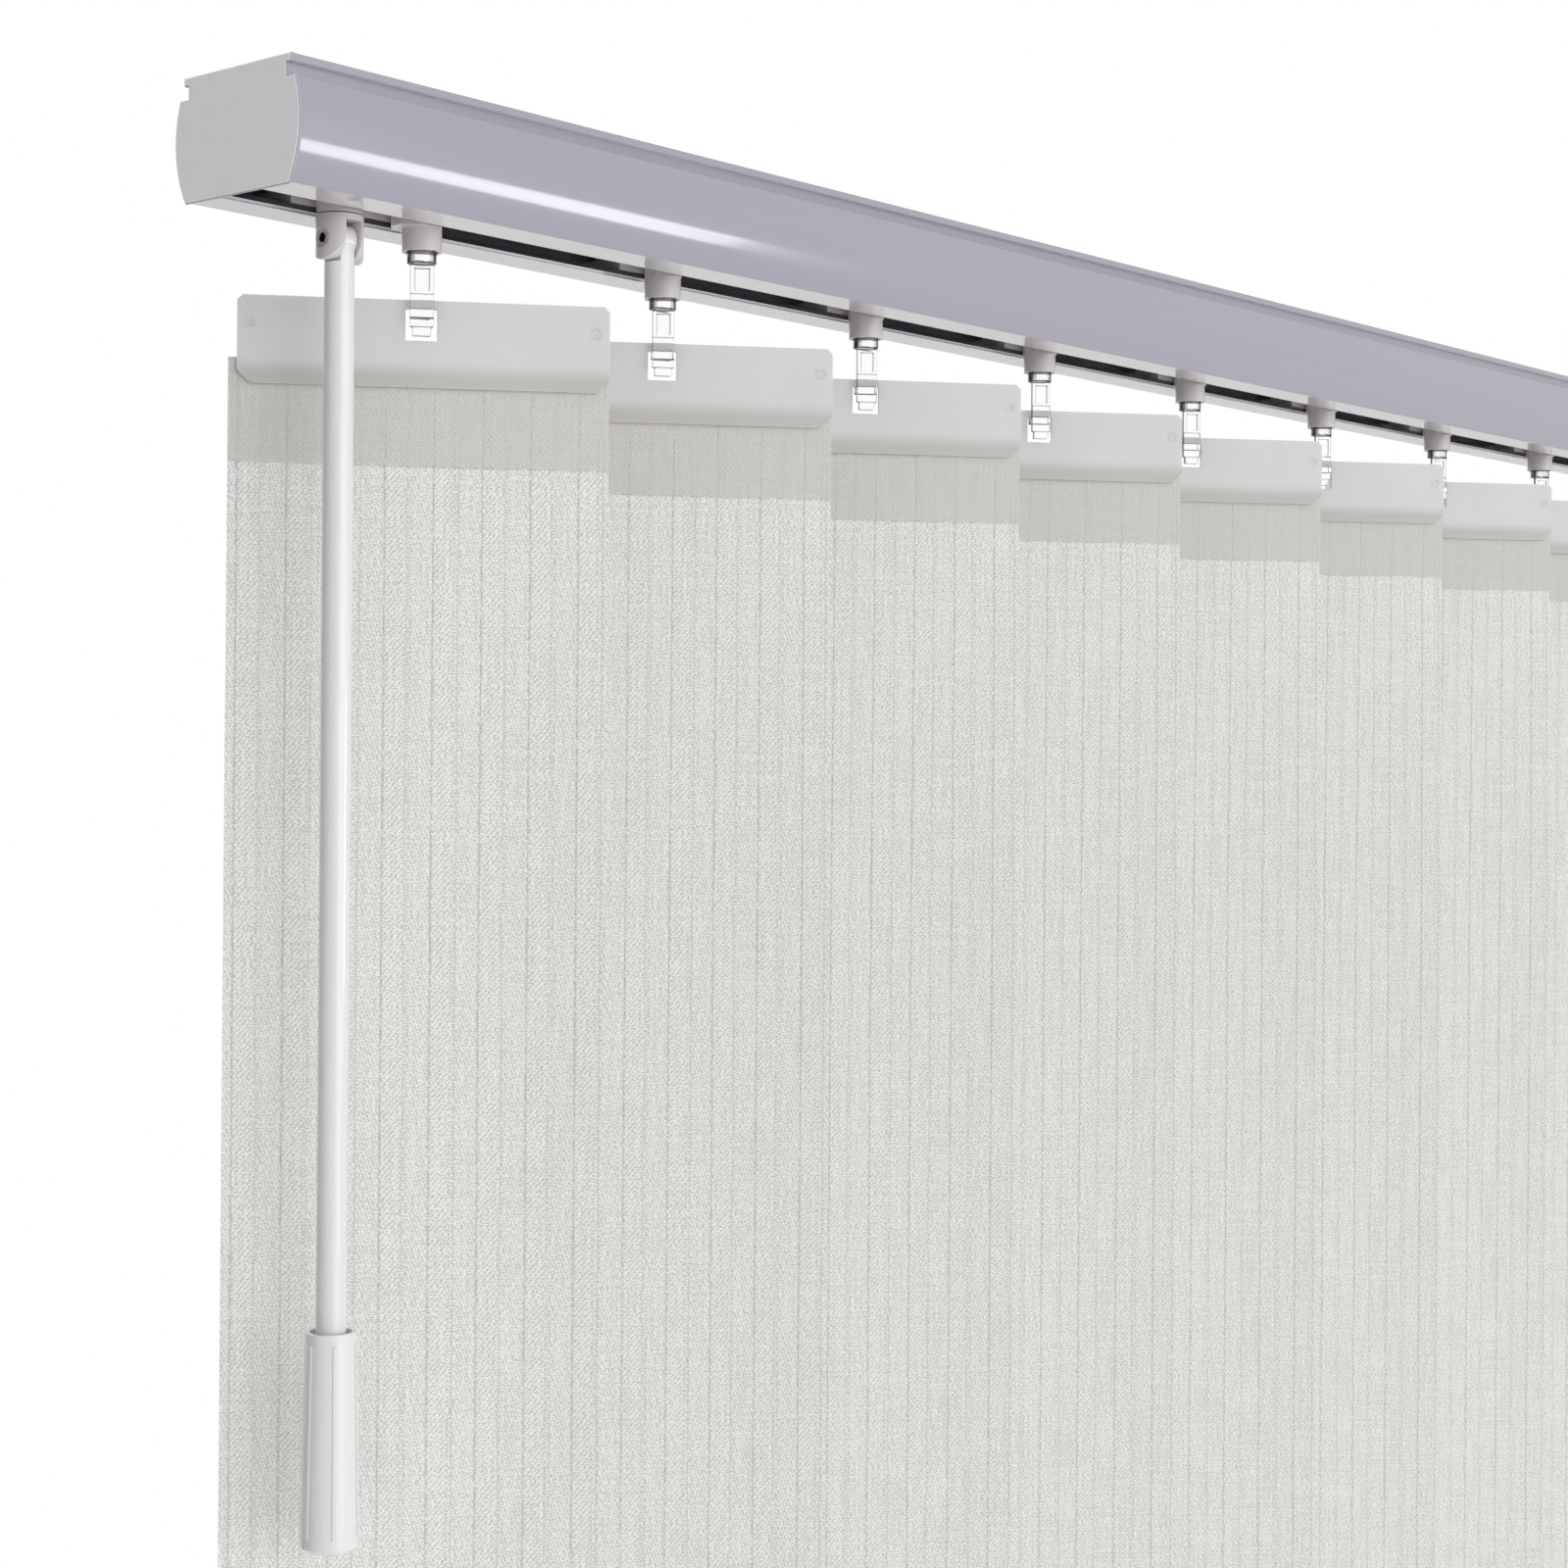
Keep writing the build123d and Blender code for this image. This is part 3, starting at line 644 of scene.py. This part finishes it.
@dataclass(frozen=True)
class HangerSheet:
    """Translucent sheet of the hangers, with painted shade that makes it greyer where the cloth lies behind
    it.
    """

    name: str
    bare: Colour
    painted_shade_over_cloth: Colour
    cloth_top: float
    roughness: float

    FADE_BELOW = 4 * MM
    FADE_ABOVE = 0.5 * MM
    CLOUD_RANGE = (0.3, 0.7)
    CLOUD_SHADE = 0.97
    GLOW = 0.3
    GLOW_DEPTH = 1.0 * MM
    SKIN_DEPTH = 0.02 * MM

    def build(self, effects: Effects) -> bpy.types.Material:
        """Makes the material.

        Args:
            effects: The shared node groups.

        Returns:
            The material.
        """
        finish = Finish(self.name, self.roughness)
        graph = finish.graph
        place = finish.place()
        height = graph.axes(place)[2]
        fade = (self.cloth_top - self.FADE_BELOW, self.cloth_top + self.FADE_ABOVE)
        # Painted shade: the sheet turns greyer below the cloth's top, standing in for the cloth seen through
        # it.
        backed = graph.ease(height, *fade, 1.0, 0.0)
        grain = graph.group(effects.grain, Place=place)
        cloud = graph.ease(grain.outputs["Cloud"], *self.CLOUD_RANGE, self.CLOUD_SHADE, 1.0)
        shaded = graph.add("ShaderNodeVectorMath", operation="SCALE")
        graph.feed(shaded.inputs[0], graph.blend(backed, self.bare, self.painted_shade_over_cloth))
        graph.feed(shaded.inputs["Scale"], cloud)
        finish.put("Base Color", shaded.outputs[0])
        finish.glow(self.GLOW, EVEN_GLOW, self.GLOW_DEPTH)
        finish.bump(grain.outputs["Skin"], self.SKIN_DEPTH)
        return finish.material


@dataclass(frozen=True)
class SlatCloth:
    """Woven slat cloth, on its face or its reverse, with crowns painted lighter and grooves darker."""

    name: str
    crown: Colour
    groove: Colour
    stripe: Colour
    stripe_share: float
    contrast: float
    depth: float

    ROUGHNESS = 0.85
    THREAD_RANGE = (0.15, 0.75)
    SLUB_RANGE = (0.35, 0.65)
    SLUB_LEVEL = 0.14
    SHEEN = 0.15
    SHEEN_ROUGHNESS = 0.5
    GLOW = 0.2
    GLOW_DEPTH = 0.6 * MM
    RELIEF_STRENGTH = 0.8

    def build(self, effects: Effects) -> bpy.types.Material:
        """Makes the material.

        Args:
            effects: The shared node groups.

        Returns:
            The material.
        """
        finish = Finish(self.name, self.ROUGHNESS)
        graph = finish.graph
        cut = graph.add("ShaderNodeUVMap", uv_map=CUT_MAP).outputs[0]
        weave = graph.group(effects.weave, Place=cut)
        # The crowns are lighter and the grooves darker: partly the yarn's tone, partly painted highlight and
        # painted shade on the relief.
        low = 0.5 - self.contrast / 2
        woven = graph.ease(weave.outputs["Thread"], *self.THREAD_RANGE, low, 1.0 - low)
        slub = graph.ease(weave.outputs["Slub"], *self.SLUB_RANGE, -self.SLUB_LEVEL, self.SLUB_LEVEL)
        mixed = graph.ease(graph.calc("ADD", woven, slub), 0.0, 1.0)
        cloth = graph.blend(mixed, self.groove, self.crown)
        stripe = graph.calc("MULTIPLY", weave.outputs["Stripe"], self.stripe_share)
        finish.put("Base Color", graph.blend(stripe, cloth, self.stripe))
        finish.put("Sheen Weight", self.SHEEN)
        finish.put("Sheen Roughness", self.SHEEN_ROUGHNESS)
        finish.glow(self.GLOW, EVEN_GLOW, self.GLOW_DEPTH)
        relief = graph.calc("SUBTRACT", weave.outputs["Thread"], weave.outputs["Stripe"])
        finish.bump(relief, self.depth, self.RELIEF_STRENGTH)
        return finish.material


def clear_selection() -> None:
    """Deselects everything, in object mode."""
    if bpy.context.mode != "OBJECT":
        bpy.ops.object.mode_set(mode="OBJECT")
    bpy.ops.object.select_all(action="DESELECT")


def make_active(piece: bpy.types.Object) -> None:
    """Selects one piece alone and makes it the active one."""
    clear_selection()
    piece.select_set(True)
    bpy.context.view_layer.objects.active = piece


def pick(test: Callable[[Vector], bool]) -> None:
    """Selects, in edit mode, the vertices that a test is true for, with the edges and faces between them.

    Args:
        test: The test on a vertex's place.
    """
    mesh = bmesh.from_edit_mesh(bpy.context.object.data)
    for face in mesh.faces:
        face.select = False
    for edge in mesh.edges:
        edge.select = False
    for vertex in mesh.verts:
        vertex.select = test(vertex.co)
    mesh.select_flush(True)
    bmesh.update_edit_mesh(bpy.context.object.data)


def apply_modifier(piece: bpy.types.Object, kind: str, **settings: object) -> None:
    """Adds a modifier to a piece and applies it.

    Args:
        piece: The piece.
        kind: The modifier's type.
        **settings: Its properties.
    """
    make_active(piece)
    modifier = piece.modifiers.new(kind.lower(), kind)
    for name, value in settings.items():
        setattr(modifier, name, value)
    bpy.ops.object.modifier_apply(modifier=modifier.name)


def smooth(piece: bpy.types.Object) -> None:
    """Shades a piece smooth where its faces meet at a small angle."""
    make_active(piece)
    bpy.ops.object.shade_smooth_by_angle(angle=SMOOTH_ANGLE)


def stem_matrix(number: int) -> Matrix:
    """Tells where the slat of this number hangs, turned as in the photograph.

    Args:
        number: The slat's number, from 1 at the wand.

    Returns:
        The matrix from a slat drawn along X to its place.
    """
    x = (number - (SLAT_COUNT + 1) / 2) * SLAT_PITCH
    return Matrix.Translation((x, 0, 0)) @ Matrix.Rotation(-SLAT_ANGLE, 4, "Z")


def copy_piece(master: bpy.types.Object, name: str, matrix: Matrix) -> bpy.types.Object:
    """Copies a piece with its own mesh, and puts the copy's place in that mesh.

    Args:
        master: The piece to copy.
        name: The copy's name.
        matrix: The copy's place.

    Returns:
        The copy, at the origin.
    """
    copy = bpy.data.objects.new(name, master.data.copy())
    copy.data.name = name
    copy.data.transform(matrix)
    bpy.context.scene.collection.objects.link(copy)
    return copy


def discard(piece: bpy.types.Object) -> None:
    """Removes a master piece once its copies are made."""
    mesh = piece.data
    bpy.data.objects.remove(piece)
    bpy.data.meshes.remove(mesh)


@dataclass
class Slats:
    """The cloth slats: each one strip, turned to the front in a hem at the top and round a foot weight."""

    width: float = 89 * MM
    cloth: float = 0.45 * MM
    flap_y: float = 0.75 * MM
    sheet_y: float = 1.25 * MM
    foot_y: float = -0.45 * MM
    top_z: float = CLOTH_TOP
    hem_z: float = -83.4 * MM
    foot_z: float = -914 * MM
    foot_hem: float = 30 * MM
    foot_taper: float = 6 * MM
    columns: int = 18
    sheet_rows: int = 54
    flap_rows: int = 4
    bow: float = 3.5 * MM
    ripple: float = 0.35 * MM
    held_share: float = 0.12

    # Angles of the points between the flat rows of each fold, in degrees.
    TOP_FOLD = (120, 60)
    FOOT_FOLD = (-45, -90, -135)
    # Waves down a slat in radians, how they shift from slat to slat, and how strong the shorter one is.
    TWIST_WAVE = 5.1
    TWIST_SHIFT = 1.7
    SWELL_WAVE = 9.3
    SWELL_SHIFT = 2.3
    SWELL_SHARE = 0.6

    @staticmethod
    def fold(near_y: float, radius: float, middle_z: float, angles: tuple[int, ...]) -> list[Span]:
        """Gives points of a round fold.

        Args:
            near_y: The fold's depth at the front.
            radius: Its radius.
            middle_z: The height of its middle.
            angles: Where the points are, in degrees from the back.

        Returns:
            Points as depth and height.
        """
        turns = [math.radians(angle) for angle in angles]
        return [(near_y + radius + radius * math.cos(turn), middle_z + radius * math.sin(turn))
                for turn in turns]

    def path(self) -> list[Span]:
        """Draws the strip's line from the hem's edge to the foot hem's edge.

        Returns:
            Points as depth and height.
        """
        radius = (self.sheet_y - self.flap_y) / 2
        fold_z = self.top_z - radius
        points = [(self.flap_y, self.hem_z + (fold_z - self.hem_z) * row / self.flap_rows)
                  for row in range(self.flap_rows + 1)]
        points += self.fold(self.flap_y, radius, fold_z, self.TOP_FOLD)
        turn_radius = (self.sheet_y - self.foot_y) / 2
        turn_z = self.foot_z + self.cloth / 2 + turn_radius
        points += [(self.sheet_y, fold_z + (turn_z - fold_z) * row / self.sheet_rows)
                   for row in range(self.sheet_rows + 1)]
        points += self.fold(self.foot_y, turn_radius, turn_z, self.FOOT_FOLD)
        points += [
            (self.foot_y, turn_z),
            (self.foot_y, self.foot_z + self.foot_hem - self.foot_taper),
            (self.flap_y, self.foot_z + self.foot_hem),
        ]
        return points

    def lengths(self) -> list[float]:
        """Measures the strip up to each point of its line."""
        points = self.path()
        lengths = [0.0]
        for start, end in zip(points, points[1:]):
            lengths.append(lengths[-1] + math.dist(start, end))
        return lengths

    def cut_length(self) -> float:
        """Measures the strip before it was folded."""
        return self.lengths()[-1]

    def model(self) -> bpy.types.Object:
        """Models one flat slat along X by extruding its hem's edge along the line.

        Returns:
            The master slat, one layer thick.
        """
        points = self.path()
        first, second = points[:2]
        middle_z = (first[1] + second[1]) / 2
        clear_selection()
        bpy.ops.mesh.primitive_grid_add(x_subdivisions=self.columns, y_subdivisions=1, size=1)
        piece = bpy.context.object
        bpy.ops.object.mode_set(mode="EDIT")
        bpy.ops.mesh.select_all(action="SELECT")
        bpy.ops.transform.resize(value=(self.width, second[1] - first[1], 1))
        bpy.ops.transform.rotate(value=math.radians(-90), orient_axis="X", center_override=(0, 0, 0))
        bpy.ops.transform.translate(value=(0, first[0], middle_z))
        bpy.ops.mesh.select_mode(type="EDGE")
        pick(lambda place: place.z > middle_z)
        for start, end in zip(points[1:], points[2:]):
            step = (0, end[0] - start[0], end[1] - start[1])
            bpy.ops.mesh.extrude_region_move(TRANSFORM_OT_translate={"value": step})
        bpy.ops.mesh.select_all(action="SELECT")
        bpy.ops.mesh.flip_normals()
        bpy.ops.object.mode_set(mode="OBJECT")
        self.lay_out(piece)
        return piece

    def lay_out(self, piece: bpy.types.Object) -> None:
        """Gives the strip its flat cut as a UV map in metres.

        Args:
            piece: The master slat.
        """
        points = self.path()
        lengths = self.lengths()
        mesh = piece.data
        row_of = [min(range(len(points)), key=lambda row: math.dist(points[row], (vertex.co.y, vertex.co.z)))
                  for vertex in mesh.vertices]
        layer = mesh.uv_layers[0]
        layer.name = CUT_MAP
        for loop in mesh.loops:
            vertex = mesh.vertices[loop.vertex_index]
            layer.data[loop.index].uv = (vertex.co.x, lengths[row_of[loop.vertex_index]])

    def hang(self, piece: bpy.types.Object, number: int) -> None:
        """Bows the cloth across its width, but not where the hanger or the weight holds it, and ripples it.

        Args:
            piece: A slat along X.
            number: The slat's number, which sets how it wavers.
        """
        half = self.width / 2
        length = self.hem_z - self.foot_z
        # The mean of the squared share, so that the bow leaves the slat's middle depth as it is.
        mean = 1 / 3
        for vertex in piece.data.vertices:
            down = min(max((self.hem_z - vertex.co.z) / length, 0.0), 1.0)
            above_hem = max(0.0, 1.0 - down - self.foot_hem / length)
            free = min(1.0, down / self.held_share) * min(1.0, above_hem / self.held_share)
            share = vertex.co.x / half
            twist = math.sin(self.TWIST_WAVE * down + self.TWIST_SHIFT * number) * share
            swell = self.SWELL_SHARE * math.sin(self.SWELL_WAVE * down + self.SWELL_SHIFT * number)
            vertex.co.y += free * (self.bow * (mean - share**2) + self.ripple * (twist + swell))

    def build(self, materials: dict[str, bpy.types.Material]) -> None:
        """Args:
            materials: The finished materials by name.
        """
        master = self.model()
        for number in range(1, SLAT_COUNT + 1):
            piece = copy_piece(master, f"slat_cloth_{number}", Matrix.Identity(4))
            self.hang(piece, number)
            for side in ClothSide:
                piece.data.materials.append(materials[side.value])
            apply_modifier(piece, "SOLIDIFY", thickness=self.cloth, offset=0.0, material_offset=1)
            smooth(piece)
            piece.data.transform(stem_matrix(number))
            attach(piece, f"vane_{number}")
            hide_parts(f"slat_{number}")
            self.cut_length()
            LOG.info("slat %d: %d faces", number, len(piece.data.polygons))
        discard(master)


@dataclass
class FootWeights:
    """The flat weight in each slat's foot hem."""

    length: float = 86 * MM
    thickness: float = 1.1 * MM
    height: float = 22 * MM
    middle_y: float = 0.4 * MM
    foot_z: float = -913.2 * MM
    edge: float = 0.35 * MM
    edge_segments: int = 3

    def build(self, materials: dict[str, bpy.types.Material]) -> None:
        """Builds every weight in its place.

        Args:
            materials: The finished materials by name.
        """
        clear_selection()
        bpy.ops.mesh.primitive_cube_add(size=1)
        master = bpy.context.object
        bpy.ops.object.mode_set(mode="EDIT")
        bpy.ops.mesh.select_all(action="SELECT")
        bpy.ops.transform.resize(value=(self.length, self.thickness, self.height))
        bpy.ops.transform.translate(value=(0, self.middle_y, self.foot_z + self.height / 2))
        bpy.ops.mesh.bevel(offset=self.edge, segments=self.edge_segments, affect="EDGES")
        bpy.ops.object.mode_set(mode="OBJECT")
        master.data.materials.append(materials["white_acetal"])
        smooth(master)
        for number in range(1, SLAT_COUNT + 1):
            piece = copy_piece(master, f"foot_weight_{number}", stem_matrix(number))
            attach(piece, f"vane_{number}")
        LOG.info("foot weights: %d", SLAT_COUNT)
        discard(master)


@dataclass
class HangerMarks:
    """The small moulded rings near both ends of each hanger."""

    radius: float = 1.3 * MM
    wall: float = 0.45 * MM
    proud: float = 0.15 * MM
    dish_share: float = 0.8
    sides: int = 24
    left_x: float = -39.5 * MM
    right_x: float = 41.5 * MM
    height: float = -51.2 * MM
    face_y: float = -0.5 * MM

    def build(self, materials: dict[str, bpy.types.Material]) -> None:
        """Builds the pair of rings on every hanger.

        Args:
            materials: The finished materials by name.
        """
        clear_selection()
        bpy.ops.mesh.primitive_cylinder_add(vertices=self.sides, radius=self.radius, depth=2 * self.proud)
        master = bpy.context.object
        bpy.ops.object.mode_set(mode="EDIT")
        bpy.ops.mesh.select_all(action="SELECT")
        bpy.ops.mesh.select_mode(type="VERT")
        pick(lambda place: place.z > 0)
        bpy.ops.mesh.inset(thickness=self.wall)
        bpy.ops.transform.translate(value=(0, 0, -self.dish_share * self.proud))
        bpy.ops.mesh.select_all(action="SELECT")
        bpy.ops.transform.rotate(value=math.radians(-90), orient_axis="X", center_override=(0, 0, 0))
        bpy.ops.transform.translate(value=(self.left_x, self.face_y, self.height))
        shift = (self.right_x - self.left_x, 0, 0)
        bpy.ops.mesh.duplicate_move(TRANSFORM_OT_translate={"value": shift})
        bpy.ops.object.mode_set(mode="OBJECT")
        master.data.materials.append(materials["hanger_sheet"])
        for number in range(1, SLAT_COUNT + 1):
            piece = copy_piece(master, f"hanger_marks_{number}", stem_matrix(number))
            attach(piece, f"vane_{number}")
        LOG.info("hanger marks: %d pairs", SLAT_COUNT)
        discard(master)


class RigidPieces:
    """The pieces that keep their CAD shape and get a finish."""

    FINISH_OF = {
        Slot.RAIL: "rail_lacquer",
        Slot.CAP: "cap_plastic",
        Slot.CARRIER: "carrier_nylon",
        Slot.CLEAR: "hook_polycarbonate",
        Slot.HANGER: "hanger_sheet",
        Slot.WAND: "wand_gloss",
        Slot.STEEL: "screw_steel",
        Slot.GEAR: "white_acetal",
        Slot.ROD: "rod_aluminium",
    }
    WELD_GAP = 0.005 * MM
    EDGE = 0.3 * MM
    EDGE_SEGMENTS = 2
    EDGE_ANGLE = math.radians(40)

    def __init__(self, frame: dict) -> None:
        """Reads which slot each node has.

        Args:
            frame: The loaded frame.
        """
        self.nodes = frame["nodes"]
        self.slots = {part["node"]: Slot(part["material_slot"]) for part in frame["record"]["subparts"]}

    def dress(self, materials: dict[str, bpy.types.Material]) -> None:
        """Gives every rigid node its finish, and the clear ones soft edges and no shadow.

        Args:
            materials: The finished materials by name.
        """
        for name, node in self.nodes.items():
            slot = self.slots[name]
            if slot not in self.FINISH_OF:
                continue
            node.data.materials.clear()
            node.data.materials.append(materials[self.FINISH_OF[slot]])
            if slot is Slot.CLEAR:
                self.soften(node)
                node.visible_shadow = False
            LOG.info("%s: %s", name, self.FINISH_OF[slot])

    def soften(self, node: bpy.types.Object) -> None:
        """Rounds the edges of a clear piece, so that they catch the light.

        Args:
            node: The piece.
        """
        weld = node.modifiers.new("weld", "WELD")
        weld.merge_threshold = self.WELD_GAP
        bevel = node.modifiers.new("soft_edges", "BEVEL")
        bevel.width = self.EDGE
        bevel.segments = self.EDGE_SEGMENTS
        bevel.limit_method = "ANGLE"
        bevel.angle_limit = self.EDGE_ANGLE
        bevel.use_clamp_overlap = False


FINISHES = (
    # The rail's light underside is painted reflected light, and its dark slot is painted shade.
    DrawnMetal("rail_lacquer", tone(171, 168, 180), tone(166, 163, 175), roughness=0.14, metallic=0.15,
               line_depth=0.003 * MM, coat=0.9, painted_underside_light=tone(228, 227, 231), painted_recess_shade=tone(66, 64, 64),
               slot=11.4 * MM),
    DrawnMetal("rod_aluminium", tone(200, 200, 203), tone(190, 190, 194), roughness=0.3, metallic=1.0,
               line_depth=0.01 * MM),
    # The screw's dark socket colour is painted shade.
    DrawnMetal("screw_steel", tone(238, 234, 228), tone(228, 224, 218), roughness=0.3, metallic=0.6,
               line_depth=0.01 * MM, painted_recess_shade=tone(58, 50, 44), socket_x=SCREW_X),
    # The cap's side colour is painted shade on its rim.
    MouldedPlastic("cap_plastic", tone(248, 248, 250), tone(244, 244, 247), roughness=0.42,
                   skin_depth=0.03 * MM, side=tone(168, 167, 171), face_x=CAP_FACE_X),
    MouldedPlastic("carrier_nylon", tone(216, 210, 210), tone(209, 203, 203), roughness=0.32,
                   skin_depth=0.01 * MM, coat=0.2, glow=0.2),
    MouldedPlastic("wand_gloss", tone(230, 230, 230), tone(227, 227, 228), roughness=0.2,
                   skin_depth=0.004 * MM, coat=0.7),
    MouldedPlastic("white_acetal", tone(232, 231, 226), tone(222, 221, 216), roughness=0.4,
                   skin_depth=0.02 * MM),
    # The hook's dark edge colour is painted shade for its outlines.
    ClearPlastic("hook_polycarbonate", tone(252, 252, 252), edge=tone(60, 60, 62), roughness=0.03),
    # The hanger's grey over the cloth is painted shade.
    HangerSheet("hanger_sheet", tone(221, 220, 220), painted_shade_over_cloth=tone(198, 196, 191), cloth_top=CLOTH_TOP,
                roughness=0.45),
    # On both sides the lighter crowns and darker grooves are partly painted highlight and shade.
    SlatCloth(ClothSide.FACE.value, tone(251, 250, 248), tone(211, 210, 207), tone(178, 177, 175),
              stripe_share=0.42, contrast=0.85, depth=0.2 * MM),
    # The reverse is darker than the face as painted shade, for the doubled hem whose flap shows the reverse.
    SlatCloth(ClothSide.REVERSE.value, tone(220, 218, 213), tone(205, 203, 198), tone(194, 192, 186),
              stripe_share=0.2, contrast=0.6, depth=0.12 * MM),
)


@dataclass
class PhotoCamera:
    """The camera, as the photograph was taken. Its angles are in radians."""

    place: Triple = (-775.17 * MM, -504.54 * MM, -158.58 * MM)
    yaw: float = 0.7176
    pitch: float = 0.0017
    roll: float = 0.0079
    focal_pixels: float = 2905.1
    frame_pixels: int = 1600
    sensor: float = 36.0
    nearest: float = 10 * MM

    def axes(self) -> tuple[Vector, Vector, Vector]:
        """Gives the camera's right, up and forward directions."""
        forward = Vector((math.cos(self.yaw) * math.cos(self.pitch),
                          math.sin(self.yaw) * math.cos(self.pitch), math.sin(self.pitch)))
        level = Vector((math.sin(self.yaw), -math.cos(self.yaw), 0.0))
        above = level.cross(forward)
        right = math.cos(self.roll) * level + math.sin(self.roll) * above
        up = -math.sin(self.roll) * level + math.cos(self.roll) * above
        return right, up, forward

    def build(self) -> None:
        """Adds the camera and makes it the scene's."""
        data = bpy.data.cameras.new("photo_camera")
        data.sensor_fit = "HORIZONTAL"
        data.sensor_width = self.sensor
        data.lens = self.focal_pixels * self.sensor / self.frame_pixels
        data.clip_start = self.nearest
        camera = bpy.data.objects.new("photo_camera", data)
        right, up, forward = self.axes()
        turn = Matrix((right, up, -forward)).transposed().to_4x4()
        camera.matrix_world = Matrix.Translation(self.place) @ turn
        bpy.context.scene.collection.objects.link(camera)
        bpy.context.scene.camera = camera


@dataclass(frozen=True)
class StripLight:
    """One soft rectangular light."""

    name: str
    place: Triple
    target: Triple
    width: float
    height: float
    watts: float

    def build(self) -> None:
        """Adds the light, aimed at its target."""
        data = bpy.data.lights.new(self.name, "AREA")
        data.shape = "RECTANGLE"
        data.size = self.width
        data.size_y = self.height
        data.energy = self.watts
        lamp = bpy.data.objects.new(self.name, data)
        lamp.location = self.place
        aim = Vector(self.target) - Vector(self.place)
        lamp.rotation_euler = aim.to_track_quat("-Z", "Y").to_euler()
        bpy.context.scene.collection.objects.link(lamp)


@dataclass(frozen=True)
class Patch:
    """A part of the surroundings that is lighter or darker than the rest, soft between two cosines."""

    level: float
    way: Triple
    edge: Span

    def shade(self, graph: Graph, place: Socket, rest: float) -> Socket:
        """Gives the level that the patch sets in each direction.

        Args:
            graph: The world's graph.
            place: The direction.
            rest: The level away from the patch.

        Returns:
            The level.
        """
        return graph.ease(graph.dot(place, self.way), *self.edge, rest, self.level)


@dataclass
class Studio:
    """White surroundings with a dark side, a soft key and a light from above behind, and a pale floor."""

    floor_z: float = -0.96
    floor_side: float = 2.0
    floor_colour: Colour = tone(240, 240, 240)
    floor_roughness: float = 0.6
    level: float = 0.67
    dark: Patch = Patch(0.06, (-0.45, 0.89, 0.0), (0.3, 0.9))
    key: Patch = Patch(1.6, (0.1, -0.97, 0.2), (0.8, 0.98))
    back: Patch = Patch(2.2, (0.3, 0.6, 0.74), (0.62, 0.95))
    strip: StripLight = StripLight("rail_strip", place=(0.8, -1.27, -0.2), target=(-0.3, 0.0, -0.02),
                                   width=0.42, height=0.26, watts=1.35)

    def surroundings(self) -> None:
        """Builds a world that looks white, also through clear pieces, and lights by its patches."""
        world = bpy.data.worlds.new("studio")
        world.use_nodes = True
        graph = Graph(world.node_tree)
        place = graph.add("ShaderNodeTexCoord").outputs["Generated"]
        level = self.dark.shade(graph, place, self.level)
        for patch in (self.key, self.back):
            level = graph.calc("ADD", level, patch.shade(graph, place, 0.0))
        lit = graph.add("ShaderNodeBackground")
        graph.feed(lit.inputs["Color"], WHITE)
        graph.feed(lit.inputs["Strength"], level)
        shown = graph.add("ShaderNodeBackground")
        graph.feed(shown.inputs["Color"], WHITE)
        rays = graph.add("ShaderNodeLightPath")
        seen = graph.calc("MAXIMUM", rays.outputs["Is Camera Ray"], rays.outputs["Is Transmission Ray"])
        mix = graph.add("ShaderNodeMixShader")
        for socket, value in zip(mix.inputs, (seen, lit.outputs[0], shown.outputs[0])):
            graph.feed(socket, value)
        end = graph.add("ShaderNodeOutputWorld")
        graph.feed(end.inputs["Surface"], mix.outputs[0])
        bpy.context.scene.world = world

    def floor(self) -> None:
        """Adds the pale floor."""
        clear_selection()
        bpy.ops.mesh.primitive_plane_add(size=self.floor_side)
        board = bpy.context.object
        board.name = "floor"
        board.data.transform(Matrix.Translation((0, 0, self.floor_z)))
        finish = Finish("floor", self.floor_roughness)
        finish.put("Base Color", self.floor_colour)
        board.data.materials.append(finish.material)

    def build(self) -> None:
        """Builds the surroundings, the floor and the light, and shows colours as they are."""
        self.surroundings()
        self.floor()
        self.strip.build()
        view = bpy.context.scene.view_settings
        view.view_transform = "Standard"
        view.look = "None"


def main() -> None:
    """Builds the dressed blind in order."""
    logging.basicConfig(level=logging.INFO, format="%(name)s: %(message)s")
    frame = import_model()
    effects = Effects()
    materials = {finish.name: finish.build(effects) for finish in FINISHES}
    RigidPieces(frame).dress(materials)
    Slats().build(materials)
    FootWeights().build(materials)
    HangerMarks().build(materials)
    Studio().build()
    PhotoCamera().build()


if __name__ == "__main__":
    main()
